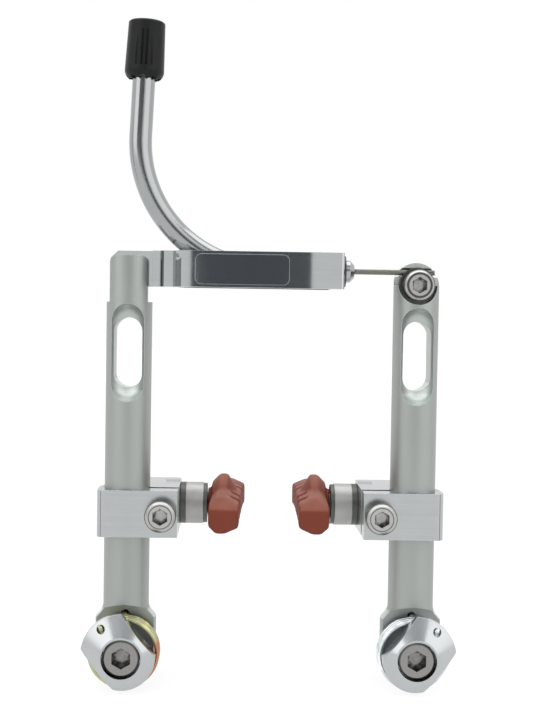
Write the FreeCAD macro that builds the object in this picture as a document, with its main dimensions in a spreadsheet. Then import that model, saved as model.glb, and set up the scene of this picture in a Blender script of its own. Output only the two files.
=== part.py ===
import FreeCAD, Part
import math
import os
from types import SimpleNamespace

import Sketcher

# A linear-pull rim brake: two round arms that turn on frame studs, tied by a box link,
# a noodle tube and a wire. Millimetres. The origin is midway between the stud axes in
# their mounting plane, +X to the right seen from the front, +Y towards the bicycle, +Z up.

SIZES = (
    # Layout of the pair
    ("stud_spacing", 80.0, "between the two frame stud axes"),
    ("arm_setback", 10.0, "from the mounting plane forward to the arm axes"),
    ("running_play", 0.05, "radial play of a turning or sliding fit"),
    ("side_play", 0.2, "gap beside a part that turns"),
    ("turning_gap", 0.1, "gap between a part that turns and a face that guides it"),
    ("face_gap", 0.05, "gap between faces that are screwed together"),
    ("screw_play", 0.05, "radial gap between a screw and its tapped hole"),
    ("hole_play", 0.1, "radial gap round a screw or stud in a plain hole"),
    ("screw_bevel", 0.3, "bevel at the tip of the small screws"),
    ("big_screw_bevel", 0.6, "bevel at the tip of the 6 mm screws"),
    ("head_edge", 0.5, "bevel round the mounting bolt's head"),
    ("small_head_edge", 0.8, "bevel round the heads of the small screws"),
    ("socket_share", 0.6, "depth of a hexagon socket as a share of its head"),
    # Arms
    ("arm_diameter", 12.7, "round arm"),
    ("head_diameter", 16.9, "turned lower end that carries the pivot"),
    ("head_top", 8.4, "height of the head's upper rim over the pivot"),
    ("flare_height", 3.8, "from the head's rim up to the plain arm"),
    ("flare_radius", 3.5, "hollow fillet at the top of the flare"),
    ("flare_turn", 40.0, "angle that the fillet turns through"),
    ("head_back", 6.6, "from the arm axis back to the flat behind the head"),
    ("bushing_radius", 5.0, "outside of the pivot bushing's sleeve"),
    ("pocket_radius", 12.5, "spring pocket milled into the front of the head"),
    ("pocket_floor", 2.6, "from the arm axis forward to the pocket's floor"),
    ("window_width", 7.8, "slot through the arm"),
    ("window_length", 19.5, "slot through the arm, end to end"),
    ("window_drop", 23.4, "cable line down to the middle of the slot"),
    ("dish_radius", 5.0, "ball-ended hollow round the slot"),
    ("dish_length", 26.9, "hollow, end to end"),
    ("dish_offset", 0.4, "how far the ball's centre lies outside the arm's skin"),
    ("cable_height", 105.6, "link pivot, noodle and wire over the stud axes"),
    # Left arm's top
    ("tang_width", 10.4, "flats on the sides of the left arm's top"),
    ("tang_below", 9.4, "cable line down to the shoulder below the tang"),
    ("tang_above", 3.4, "cable line up to the tang's end"),
    ("tang_corner", 1.8, "rounded corners of the tang"),
    ("tang_back", 1.0, "from the arm axis forward to the tang's back face"),
    # Right arm's top
    ("seat_radius", 5.4, "round seat milled for the anchor washer"),
    ("anchor_washer_radius", 5.0, "washer that grips the wire"),
    ("anchor_washer_thickness", 1.0, "washer that grips the wire"),
    ("anchor_bolt_depth", 5.1, "anchor bolt's end behind the arm's axis"),
    ("wire_diameter", 1.5, "brake wire"),
    ("wire_swing", 0.5, "extra half width of the wire's groove"),
    ("wire_beside_bolt", 0.35, "between the wire and the anchor bolt"),
    ("wire_reach", 5.0, "wire's end beyond the right arm's axis"),
    ("wire_start", 37.0, "wire's hidden end before the right arm's axis"),
    # Pivot stack, forward of the mounting plane
    ("stud_bore_radius", 4.05, "bore of the bushing over the frame stud"),
    ("stud_depth", 16.2, "depth of the bushing's bore"),
    ("bushing_length", 18.5, "mounting face to the bushing's front"),
    ("flange_radius", 7.0, "rear collar of the bushing"),
    ("mount_bolt_radius", 3.0, "thread of the mounting bolt"),
    ("mount_neck_radius", 2.75, "relieved neck of the mounting bolt"),
    ("mount_bolt_tip", 4.0, "bolt's end from the mounting plane"),
    ("mount_head_radius", 5.0, "mounting bolt's head"),
    ("mount_head_height", 4.8, "mounting bolt's head"),
    ("mount_key", 5.0, "across the flats of the mounting bolt's socket"),
    # Tension adjuster
    ("adjuster_hub", 1.5, "hub between adjuster plate and bushing"),
    ("adjuster_hub_radius", 6.6, "hub between adjuster plate and bushing"),
    ("adjuster_thickness", 5.7, "plate, beside the bolt"),
    ("adjuster_rim", 1.6, "plate, at the end of its cone"),
    ("adjuster_land", 5.9, "radius where the plate's cone starts"),
    ("adjuster_radius", 9.1, "plate's round edge towards the pads"),
    ("lobe_radius", 11.35, "plate's round edge on the outside"),
    ("inner_flat", 7.1, "bolt to the wrench flat towards the pads"),
    ("outer_flat", 7.4, "bolt to the opposite wrench flat"),
    ("flats_angle", 40.4, "turn of the wrench flats"),
    ("adjuster_recess", 5.35, "radius of the recess round the bolt's head"),
    ("adjuster_leg_angle", 127.0, "place of the leg's hole round the bolt"),
    # Return spring
    ("spring_radius", 9.35, "middle of the coil"),
    ("spring_wire", 1.3, "spring wire diameter"),
    ("leg_hole_radius", 1.15, "holes for the spring's legs"),
    ("leg_hole_depth", 4.4, "leg's hole in the arm"),
    ("leg_length", 2.6, "straight leg beyond its bend"),
    ("spring_bend", 1.2, "bend between coil and leg"),
    ("spring_turns", 3.0, "full turns, besides the part turn between the holes"),
    # Pad clamp
    ("clamp_height", 38.1, "middle of the clamp over the stud axis"),
    ("clamp_tall", 12.9, "height of the clamp"),
    ("clamp_wall", 1.45, "clamp's wall round the arm"),
    ("clamp_reach", 14.35, "arm's axis to the clamp's pad face"),
    ("clamp_round", 2.0, "rounded outer corners"),
    ("slit_front", 2.6, "slit's front face, forward of the arm's axis"),
    ("clamp_bolt_reach", 9.9, "arm's axis to the clamp bolt"),
    ("small_bolt_radius", 2.5, "clamp, anchor and link bolts"),
    ("small_head_radius", 4.3, "clamp and anchor bolt heads"),
    ("small_head_height", 5.0, "clamp and anchor bolt heads"),
    ("small_key", 4.0, "across the flats of the small sockets"),
    ("clamp_bolt_length", 16.0, "clamp bolt under its head"),
    ("stud_back", 14.5, "arm's axis back to the pad stud"),
    ("block_back", 20.7, "arm's axis back to the clamp's rear face"),
    ("block_start", 1.4, "outer face of the clamp's rear block"),
    ("boss_radius", 6.9, "round boss under the pad's washers"),
    ("boss_length", 4.4, "round boss under the pad's washers"),
    ("stud_play", 0.3, "radial gap round the pad stud"),
    # Pad, its stud and washers
    ("pad_stud_radius", 3.0, "threaded pad stud"),
    ("washer_radius", 6.0, "pad washers"),
    ("cup_thickness", 1.6, "cupped washer beside the clamp"),
    ("cup_ball", 9.0, "ball radius of the cupped washers"),
    ("ball_height", 0.9, "domed end that sits in the cup"),
    ("spacer_length", 5.0, "plain part of the pad spacer"),
    ("thin_washer", 1.1, "washer under the pad's neck"),
    ("thin_washer_radius", 5.75, "washer under the pad's neck"),
    ("stud_beyond_nut", 1.0, "pad stud's end beyond its nut"),
    ("stud_in_pad", 3.0, "pad stud's end beyond the pad's neck"),
    ("nut_flats", 10.0, "across the flats of the pad nut"),
    ("nut_height", 4.6, "pad nut"),
    ("outer_spacer", 1.6, "plain part of the outer domed washer"),
    ("neck_radius", 4.5, "moulded neck of the pad"),
    ("neck_length", 1.2, "moulded neck of the pad"),
    ("pad_ahead", 21.0, "pad's length in front of its stud"),
    ("pad_behind", 34.0, "pad's length behind its stud"),
    ("pad_tall", 9.8, "pad"),
    ("pad_thick", 8.5, "pad, back to rim face"),
    ("pad_face_tall", 6.2, "flat of the rim face"),
    ("pad_back_tall", 5.6, "flat of the pad's back"),
    ("pad_back_round", 2.2, "depth of the rounded back"),
    ("pad_taper", 3.9, "depth of the tapered sides"),
    ("pad_nose", 3.0, "bevels over the pad's ends"),
    ("hump_radius", 8.6, "hump over the pad's stud"),
    ("hump_back", 6.2, "radius of the hump at the pad's back"),
    ("hump_ridge", 2.4, "pad's back to the start of the hump's ridge"),
    ("hump_end", 4.5, "pad's back to the end of the hump's ridge"),
    ("hump_front", 4.6, "radius of the hump near the rim face"),
    ("rim_radius", 292.0, "wheel rim that the pad follows"),
    ("pad_slot_width", 2.2, "drainage slots"),
    ("pad_slot_depth", 2.6, "drainage slots"),
    ("left_toe", 2.2, "left pad turned in at its far end"),
    ("right_toe", -0.6, "right pad turned in at its far end"),
    # Link
    ("link_below", 5.1, "cable line down to the link's lower face"),
    ("link_above", 4.8, "cable line up to the link's upper face"),
    ("link_end", 59.1, "link pivot to the link's outer end face"),
    ("link_half_width", 9.0, "cable line to the link's front face"),
    ("link_wall", 2.8, "link's front and rear walls"),
    ("link_end_wall", 3.5, "link's end wall"),
    ("link_slot_start", 13.2, "link pivot to the rounded end of the slot"),
    ("lug_radius", 5.3, "link's eye round its pivot"),
    ("lug_thickness", 6.2, "link's eye"),
    ("lug_reach", 6.5, "link pivot to the first step of the neck"),
    ("neck_step", 3.6, "cable line forward to the neck's first step"),
    ("neck_waist", 5.6, "cable line forward to the neck's waist"),
    ("waist_start", 8.5, "link pivot to the neck's waist"),
    ("waist_end", 12.2, "link pivot to the end of the neck's waist"),
    ("neck_end", 14.6, "link pivot to the end of the neck"),
    ("eye_bevel", 2.0, "bevels of the link's eye, above and below"),
    ("link_corner", 0.9, "rounded corners at the link's end"),
    ("panel_start", 18.4, "link pivot to the sunk panel"),
    ("panel_length", 25.6, "sunk panel"),
    ("panel_tall", 8.2, "sunk panel"),
    ("panel_depth", 0.35, "sunk panel"),
    ("panel_round", 1.6, "sunk panel's corners"),
    ("link_shoulder_radius", 3.0, "shoulder of the link's bolt"),
    ("link_head_radius", 4.75, "domed head of the link's bolt"),
    ("link_head_height", 2.8, "domed head of the link's bolt"),
    ("link_key", 3.0, "across the flats of the link bolt's socket"),
    ("link_head_rim", 0.7, "plain rim of the link bolt's head"),
    ("link_head_slope", 1.6, "width of the slope round the link bolt's head"),
    ("link_washer", 0.8, "thrust washer"),
    ("link_washer_radius", 4.95, "thrust washer"),
    ("link_thread_length", 4.0, "thread in the tang"),
    # Noodle
    ("tube_radius", 3.15, "noodle tube"),
    ("tube_bore", 1.6, "noodle tube's bore"),
    ("bend_radius", 35.1, "noodle's bend"),
    ("bend_angle", 92.6, "noodle's bend"),
    ("bend_from_link", 37.6, "link pivot to the start of the bend"),
    ("leg_straight", 30.7, "straight leg after the bend"),
    ("socket_radius", 2.55, "housing socket in the leg's end"),
    ("socket_depth", 10.0, "housing socket in the leg's end"),
    ("collar_radius", 4.3, "noodle tip's collar inside the link"),
    ("collar_length", 2.5, "noodle tip's collar inside the link"),
    ("tip_radius", 3.1, "noodle tip outside the link"),
    ("tip_length", 3.3, "noodle tip outside the link"),
    ("tip_bevel", 1.2, "noodle tip's outer end"),
    ("clip_gap", 0.35, "from the link to the spring clip"),
    ("clip_thickness", 0.5, "spring clip"),
    ("clip_radius", 4.35, "spring clip"),
    ("clip_groove", 2.4, "bottom of the clip's groove"),
    ("clip_mouth", 3.84, "opening of the spring clip"),
    ("boot_radius", 5.45, "rubber boot, near its lower end"),
    ("boot_top_radius", 5.05, "rubber boot, at its upper end"),
    ("boot_length", 15.9, "rubber boot"),
    ("boot_round", 2.4, "rounded lower end of the boot"),
    ("boot_foot", 4.1, "outer radius at the boot's lower end"),
    ("boot_bevel", 0.4, "edge round the boot's upper end"),
    ("boot_mouth_radius", 2.8, "hole in the boot's upper end"),
    ("boot_overhang", 0.6, "boot beyond the end of the leg"),
    ("boot_lobes", 9.0, "lobes round the boot's lower end"),
    ("lobe_notch", 1.1, "radius of the notches between the lobes"),
    ("boot_groove", 4.75, "boot's axis to the floor of its grip grooves"),
    ("boot_groove_width", 0.55, "grip grooves"),
    ("boot_groove_low", 3.2, "lower end of the grip grooves"),
    ("boot_groove_high", 13.0, "upper end of the inner grip grooves"),
    ("boot_groove_short", 11.0, "upper end of the outer grip grooves"),
)

# Places of the pad's drainage slots, as shares of its length ahead of and behind the stud
PAD_SLOTS = (-0.62, -0.3, 0.24, 0.5, 0.76)

# Places of the boot's grip grooves across its front
GRIP_GROOVES = (-2.0, -0.5, 0.7, 2.1)


class Length:
    """A size that keeps its number together with the sheet formula it comes from."""

    def __init__(self, value, text):
        self.value = value
        self.text = text

    def __add__(self, other):
        other = length(other)
        return Length(self.value + other.value, f"({self.text} + {other.text})")

    def __sub__(self, other):
        other = length(other)
        return Length(self.value - other.value, f"({self.text} - {other.text})")

    def __mul__(self, other):
        other = length(other)
        return Length(self.value * other.value, f"({self.text} * {other.text})")

    def __truediv__(self, other):
        other = length(other)
        return Length(self.value / other.value, f"({self.text} / {other.text})")

    def __radd__(self, other):
        return length(other) + self

    def __rsub__(self, other):
        return length(other) - self

    def __rmul__(self, other):
        return length(other) * self

    def __neg__(self):
        return Length(-self.value, f"(0 - {self.text})")


def length(number):
    return number if isinstance(number, Length) else Length(float(number), repr(float(number)))


def root(number):
    return Length(math.sqrt(number.value), f"sqrt({number.text})")


def cosine(degrees):
    degrees = length(degrees)
    return Length(math.cos(math.radians(degrees.value)), f"cos({degrees.text})")


def sine(degrees):
    degrees = length(degrees)
    return Length(math.sin(math.radians(degrees.value)), f"sin({degrees.text})")


doc = FreeCAD.newDocument("LinearPullBrake")
sheet = doc.addObject("Spreadsheet::Sheet", "Sizes")
for row, (alias, value, meaning) in enumerate(SIZES, start=1):
    sheet.set(f"A{row}", meaning)
    sheet.set(f"B{row}", str(value))
    sheet.setAlias(f"B{row}", alias)
doc.recompute()
s = SimpleNamespace(**{alias: Length(value, f"Sizes.{alias}") for alias, value, _ in SIZES})

# Sizes that follow from the ones above
ZERO = length(0)
arm_r = s.arm_diameter / 2
head_r = s.head_diameter / 2
arm_y = -s.arm_setback
wire_r = s.wire_diameter / 2
pivot_bore = s.bushing_radius + s.running_play
plate_back = s.bushing_length + s.adjuster_hub
clamp_r = arm_r + s.clamp_wall
window_height = s.cable_height - s.window_drop
tang_shoulder = s.cable_height - s.tang_below
tang_top = s.cable_height + s.tang_above
# The wire passes close over the anchor bolt
anchor_height = s.cable_height - s.small_bolt_radius - wire_r - s.wire_beside_bolt
pad_start = (
    s.clamp_reach + s.face_gap + s.cup_thickness + s.spacer_length + s.thin_washer
)
link_wall_in = s.link_end - s.link_end_wall
leg_tilt = s.bend_angle - 90
leg_circle = root(s.spring_radius * s.spring_radius + s.spring_bend * s.spring_bend)

PARTS = []


def bind(obj, name, value):
    """Set a property and tie it to the sheet."""
    value = length(value)
    path = name.split(".")
    if len(path) == 1:
        setattr(obj, name, value.value)
    obj.setExpression(name, value.text)


def place(obj, at=(0, 0, 0), turn=None):
    """Put an object at a bound place, with an optional (axis, degrees) turn."""
    rotation = FreeCAD.Rotation()
    if turn:
        rotation = FreeCAD.Rotation(FreeCAD.Vector(*turn[0]), length(turn[1]).value)
    base = FreeCAD.Vector(*(length(value).value for value in at))
    obj.Placement = FreeCAD.Placement(base, rotation)
    for letter, value in zip("xyz", at):
        if isinstance(value, Length):
            obj.setExpression(f".Placement.Base.{letter}", value.text)
    if turn and isinstance(turn[1], Length):
        obj.setExpression(".Placement.Rotation.Angle", turn[1].text)
    return obj


def keep(obj, label):
    """Name a finished sub-part, which is then written to a file of its own."""
    obj.Label = label
    PARTS.append(obj)
    return obj


# Turns that lay an upright shape along another axis
ALONG = {
    "+Z": None,
    "+Y": ((1, 0, 0), -90),
    "-Y": ((1, 0, 0), 90),
    "+X": ((0, 1, 0), 90),
    "-X": ((0, 1, 0), -90),
}


def block(name, low, high):
    box = doc.addObject("Part::Box", name)
    for side, lower, upper in zip(("Length", "Width", "Height"), low, high):
        bind(box, side, length(upper) - length(lower))
    return place(box, tuple(length(value) for value in low))


def rod(name, at, along, radius, reach):
    cylinder = doc.addObject("Part::Cylinder", name)
    bind(cylinder, "Radius", radius)
    bind(cylinder, "Height", reach)
    return place(cylinder, at, ALONG[along])


def joined(name, shapes):
    fusion = doc.addObject("Part::MultiFuse", name)
    fusion.Shapes = shapes
    fusion.Refine = True
    return fusion


def cut(name, base, tools):
    for number, tool in enumerate(tools):
        last = number == len(tools) - 1
        result = doc.addObject("Part::Cut", name if last else f"{name}_step{number}")
        result.Base = base
        result.Tool = tool
        base = result
    return base


def common(name, base, tool):
    result = doc.addObject("Part::Common", name)
    result.Base = base
    result.Tool = tool
    return result


def mirrored(source, name):
    """A copy of a shape on the other side of the plane x = 0."""
    twin = doc.addObject("Part::Mirroring", name)
    twin.Source = source
    twin.Base = FreeCAD.Vector(0, 0, 0)
    twin.Normal = FreeCAD.Vector(1, 0, 0)
    return twin


def twins(*names):
    """Make the right-hand twins of finished left-hand pieces."""
    for name in names:
        source = next(part for part in PARTS if part.Label == f"left_{name}")
        keep(mirrored(source, f"right_{name}"), f"right_{name}")


def sketch_on(body, role, name, offset=None):
    sketch = body.newObject("Sketcher::SketchObject", name)
    plane = next(item for item in body.Origin.OriginFeatures if item.Role == role)
    sketch.AttachmentSupport = [(plane, "")]
    sketch.MapMode = "FlatFace"
    if offset is not None:
        offset = length(offset)
        sketch.AttachmentOffset = FreeCAD.Placement(
            FreeCAD.Vector(0, 0, offset.value), FreeCAD.Rotation()
        )
        sketch.setExpression(".AttachmentOffset.Base.z", offset.text)
    return sketch


def constrain(sketch, kind, where, value):
    value = length(value)
    index = sketch.addConstraint(Sketcher.Constraint(kind, *where, value.value))
    sketch.setExpression(f"Constraints[{index}]", value.text)


def outline(sketch, corners):
    """Draw a closed outline from corners (x, y), or (x, y, radius, turn) where an arc
    of at most a quarter turn leads to the next corner: turn is 1 to the left, -1 right."""
    edges = []
    for index, corner in enumerate(corners):
        following = corners[(index + 1) % len(corners)]
        start = FreeCAD.Vector(length(corner[0]).value, length(corner[1]).value, 0)
        end = FreeCAD.Vector(length(following[0]).value, length(following[1]).value, 0)
        if len(corner) == 2:
            edge = sketch.addGeometry(Part.LineSegment(start, end), False)
            edges.append((edge, 1, 2))
            continue
        radius = length(corner[2])
        chord = end - start
        rise = math.sqrt(max(radius.value**2 - chord.Length**2 / 4, 0.0))
        left = FreeCAD.Vector(-chord.y, chord.x, 0).normalize()
        centre = (start + end) / 2 + left * rise * corner[3]
        first, last = (start, end) if corner[3] > 0 else (end, start)
        angles = [math.atan2(p.y - centre.y, p.x - centre.x) for p in (first, last)]
        circle = Part.Circle(centre, FreeCAD.Vector(0, 0, 1), radius.value)
        edge = sketch.addGeometry(Part.ArcOfCircle(circle, *angles), False)
        edges.append((edge, 1, 2) if corner[3] > 0 else (edge, 2, 1))
        constrain(sketch, "Radius", (edge,), radius)
    for index, corner in enumerate(corners):
        edge, first, _ = edges[index]
        before, _, last = edges[index - 1]
        sketch.addConstraint(Sketcher.Constraint("Coincident", before, last, edge, first))
        constrain(sketch, "DistanceX", (-1, 1, edge, first), corner[0])
        constrain(sketch, "DistanceY", (-1, 1, edge, first), corner[1])


def circle(sketch, x, y, radius):
    middle = FreeCAD.Vector(length(x).value, length(y).value, 0)
    ring = Part.Circle(middle, FreeCAD.Vector(0, 0, 1), length(radius).value)
    edge = sketch.addGeometry(ring, False)
    constrain(sketch, "Radius", (edge,), radius)
    constrain(sketch, "DistanceX", (-1, 1, edge, 3), x)
    constrain(sketch, "DistanceY", (-1, 1, edge, 3), y)


def upright_slot(sketch, x, low, high, half_width):
    """A slot with round ends, whose end arcs are centred at the heights low and high."""
    x = length(x)
    outline(
        sketch,
        [
            (x - half_width, low, half_width, 1),
            (x, low - half_width, half_width, 1),
            (x + half_width, low),
            (x + half_width, high, half_width, 1),
            (x, high + half_width, half_width, 1),
            (x - half_width, high),
        ],
    )


def hexagon(sketch, flats):
    """A regular hexagon about the sketch's origin, from its size across the flats."""
    corner = length(flats) / math.sqrt(3)
    outline(sketch, [(corner * cosine(60 * k + 30), corner * sine(60 * k + 30)) for k in range(6)])


def feature(body, kind, name, sketch, **values):
    item = body.newObject(f"PartDesign::{kind}", name)
    item.Profile = sketch
    for key, value in values.items():
        if isinstance(value, Length):
            bind(item, key, value)
        else:
            setattr(item, key, value)
    body.Tip = item
    return item


def turned(body, name, corners):
    """Revolve an outline of corners (radius, height) about the body's upright axis."""
    sketch = sketch_on(body, "XZ_Plane", f"{name}_outline")
    outline(sketch, corners)
    item = body.newObject("PartDesign::Revolution", name)
    item.Profile = sketch
    item.ReferenceAxis = (sketch, ["V_Axis"])
    item.Angle = 360
    body.Tip = item
    return item


def new_body(label):
    return doc.addObject("PartDesign::Body", label)


def socket(body, flats, head_height):
    """Sink a hexagon socket into the upper end of an upright screw."""
    sketch = sketch_on(body, "XY_Plane", "socket_outline", head_height)
    hexagon(sketch, flats)
    feature(body, "Pocket", "socket", sketch, Length=head_height * s.socket_share)


def small_screw(label, at, reach):
    """A cap screw that points to the rear: its head stands forward of `at`."""
    shank = s.small_bolt_radius
    head = s.small_head_radius
    top = s.small_head_height
    body = new_body(label)
    turned(
        body,
        "turned_screw",
        [
            (0, -reach),
            (shank - s.screw_bevel, -reach),
            (shank, s.screw_bevel - reach),
            (shank, 0),
            (head, 0),
            (head, top - s.small_head_edge),
            (head - s.small_head_edge, top),
            (0, top),
        ],
    )
    socket(body, s.small_key, top)
    place(body, at, ALONG["-Y"])
    return keep(body, label)


def arm_blank(label, side, top):
    """The turned arm with its pivot, spring pocket and window, in the arm's own frame."""
    body = new_body(label)
    flare_top = s.head_top + s.flare_height
    hollow_end = s.flare_radius * (1 - cosine(s.flare_turn))
    hollow_drop = s.flare_radius * sine(s.flare_turn)
    turned(
        body,
        "turned_bar",
        [
            (0, -head_r),
            (head_r, -head_r),
            (head_r, s.head_top),
            (arm_r + hollow_end, flare_top - hollow_drop, s.flare_radius, -1),
            (arm_r, flare_top),
            (arm_r, top),
            (0, top),
        ],
    )
    # The lower end is milled round about the pivot, seen from the front
    spare = 2.0
    sketch = sketch_on(body, "XZ_Plane", "round_end_outline")
    outline(
        sketch,
        [
            (-head_r, 0, head_r, 1),
            (0, -head_r, head_r, 1),
            (head_r, 0),
            (head_r + spare, 0),
            (head_r + spare, -head_r - spare),
            (-head_r - spare, -head_r - spare),
            (-head_r - spare, 0),
        ],
    )
    feature(body, "Pocket", "round_end", sketch, Type="ThroughAll", SideType="Symmetric")
    sketch = sketch_on(body, "XZ_Plane", "pivot_outline")
    circle(sketch, 0, 0, pivot_bore)
    feature(body, "Pocket", "pivot_bore", sketch, Type="ThroughAll", SideType="Symmetric")
    # Spring pocket in front, and the flat behind the head
    sketch = sketch_on(body, "XZ_Plane", "pocket_outline", s.pocket_floor)
    circle(sketch, 0, 0, s.pocket_radius)
    feature(body, "Pocket", "spring_pocket", sketch, Length=head_r, Reversed=True)
    sketch = sketch_on(body, "XZ_Plane", "back_outline", -s.head_back)
    circle(sketch, 0, 0, s.pocket_radius)
    feature(body, "Pocket", "flat_back", sketch, Length=head_r)
    sketch = sketch_on(body, "XZ_Plane", "leg_hole_outline", s.pocket_floor)
    circle(sketch, 0, leg_circle, s.leg_hole_radius)
    feature(body, "Pocket", "leg_hole", sketch, Length=s.leg_hole_depth)
    # Window through the arm
    half_width = s.window_width / 2
    straight = s.window_length / 2 - half_width
    sketch = sketch_on(body, "XZ_Plane", "window_outline")
    upright_slot(
        sketch, 0, window_height - straight, window_height + straight, half_width
    )
    feature(body, "Pocket", "window", sketch, Type="ThroughAll", SideType="Symmetric")
    # The dished edge in front of the window, as a ball-ended cutter leaves it
    centre = arm_r + s.dish_offset
    run = s.dish_length / 2 - s.dish_radius
    tool = new_body(f"{label}_cutter")
    turned(
        tool,
        "ball_ended",
        [
            (0, -run - s.dish_radius, s.dish_radius, 1),
            (s.dish_radius, -run),
            (s.dish_radius, run, s.dish_radius, 1),
            (0, run + s.dish_radius),
        ],
    )
    place(tool, (side * s.stud_spacing / 2, arm_y - centre, window_height))
    place(body, (side * s.stud_spacing / 2, arm_y, ZERO))
    return body, tool


def left_arm():
    blank, dish = arm_blank("left_arm_blank", -1, tang_top)
    x = -s.stud_spacing / 2
    far = head_r * 2
    half = s.tang_width / 2
    back = block(
        "tang_back_cut",
        (x - far, arm_y - s.tang_back, tang_shoulder),
        (x + far, arm_y + far, tang_top + 1),
    )
    sides = [
        block(
            f"tang_side_{name}",
            (x + low, arm_y - far, tang_shoulder),
            (x + high, arm_y + far, tang_top + 1),
        )
        for name, low, high in (("outer", -far, -half), ("inner", half, far))
    ]
    corners = []
    for name, way in (("outer", -1), ("inner", 1)):
        edge = x + way * half
        inner = x + way * (half - s.tang_corner)
        corner_low = tang_top - s.tang_corner
        low_x, high_x = (edge - 1, inner) if way < 0 else (inner, edge + 1)
        square = block(
            f"tang_corner_{name}",
            (low_x, arm_y - far, corner_low),
            (high_x, arm_y + far, tang_top + 1),
        )
        round_part = rod(
            f"tang_round_{name}",
            (inner, arm_y - far - 1, corner_low),
            "+Y",
            s.tang_corner,
            far * 2 + 2,
        )
        corners.append(cut(f"tang_corner_cut_{name}", square, [round_part]))
    hole = rod(
        "link_thread_hole",
        (x, arm_y - s.tang_back, s.cable_height),
        "-Y",
        s.small_bolt_radius + s.screw_play,
        s.link_thread_length + s.side_play,
    )
    keep(cut("left_arm", blank, [dish, back, *sides, *corners, hole]), "left_arm")


def right_arm():
    blank, dish = arm_blank("right_arm_blank", 1, anchor_height + arm_r)
    x = s.stud_spacing / 2
    far = head_r * 2
    top = anchor_height + arm_r + 1
    front = block("anchor_flat_cut", (x - far, arm_y - far, anchor_height), (x + far, arm_y, top))
    seat = rod("anchor_seat", (x, arm_y, anchor_height), "-Y", s.seat_radius, far)
    square = block(
        "dome_square", (x - far, arm_y - far, anchor_height), (x + far, arm_y + far, top)
    )
    round_part = rod("dome_round", (x, arm_y - far - 1, anchor_height), "+Y", arm_r, far * 2 + 2)
    dome = cut("dome_cut", square, [round_part])
    hole = rod(
        "anchor_hole",
        (x, arm_y - 1, anchor_height),
        "+Y",
        s.small_bolt_radius + s.screw_play,
        far,
    )
    groove = joined(
        "wire_groove",
        [
            rod(
                "groove_floor",
                (x - far, arm_y, s.cable_height),
                "+X",
                wire_r + s.wire_swing,
                far * 2,
            ),
        ]
        + [
            block(
                "groove_mouth",
                (x - far, arm_y - 1, s.cable_height - wire_r - s.wire_swing),
                (x + far, arm_y, s.cable_height + wire_r + s.wire_swing),
            )
        ],
    )
    keep(cut("right_arm", blank, [dish, front, seat, dome, hole, groove]), "right_arm")


def pivot_stack():
    """Bushing, mounting bolt, tension adjuster and spring of the left side, and twins."""
    x = -s.stud_spacing / 2
    flange_front = s.arm_setback - s.head_back - s.turning_gap
    bushing = new_body("left_pivot_bushing")
    turned(
        bushing,
        "turned_bushing",
        [
            (s.stud_bore_radius, 0),
            (s.flange_radius, 0),
            (s.flange_radius, flange_front),
            (s.bushing_radius, flange_front),
            (s.bushing_radius, s.bushing_length),
            (s.mount_bolt_radius + s.hole_play, s.bushing_length),
            (s.mount_bolt_radius + s.hole_play, s.stud_depth),
            (s.stud_bore_radius, s.stud_depth),
        ],
    )
    place(bushing, (x, ZERO, ZERO), ALONG["-Y"])
    keep(bushing, "left_pivot_bushing")

    bolt = new_body("left_mount_bolt")
    head_top = s.mount_head_height
    thread = s.stud_depth - plate_back
    tip = s.mount_bolt_tip - plate_back
    turned(
        bolt,
        "turned_bolt",
        [
            (0, tip),
            (s.mount_bolt_radius - s.big_screw_bevel, tip),
            (s.mount_bolt_radius, tip + s.big_screw_bevel),
            (s.mount_bolt_radius, thread),
            (s.mount_neck_radius, thread),
            (s.mount_neck_radius, 0),
            (s.mount_head_radius, 0),
            (s.mount_head_radius, head_top - s.head_edge),
            (s.mount_head_radius - s.head_edge, head_top),
            (0, head_top),
        ],
    )
    socket(bolt, s.mount_key, head_top)
    place(bolt, (x, -plate_back, ZERO), ALONG["-Y"])
    keep(bolt, "left_mount_bolt")

    adjuster()
    spring()
    twins("pivot_bushing", "mount_bolt", "tension_adjuster", "return_spring")


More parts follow.
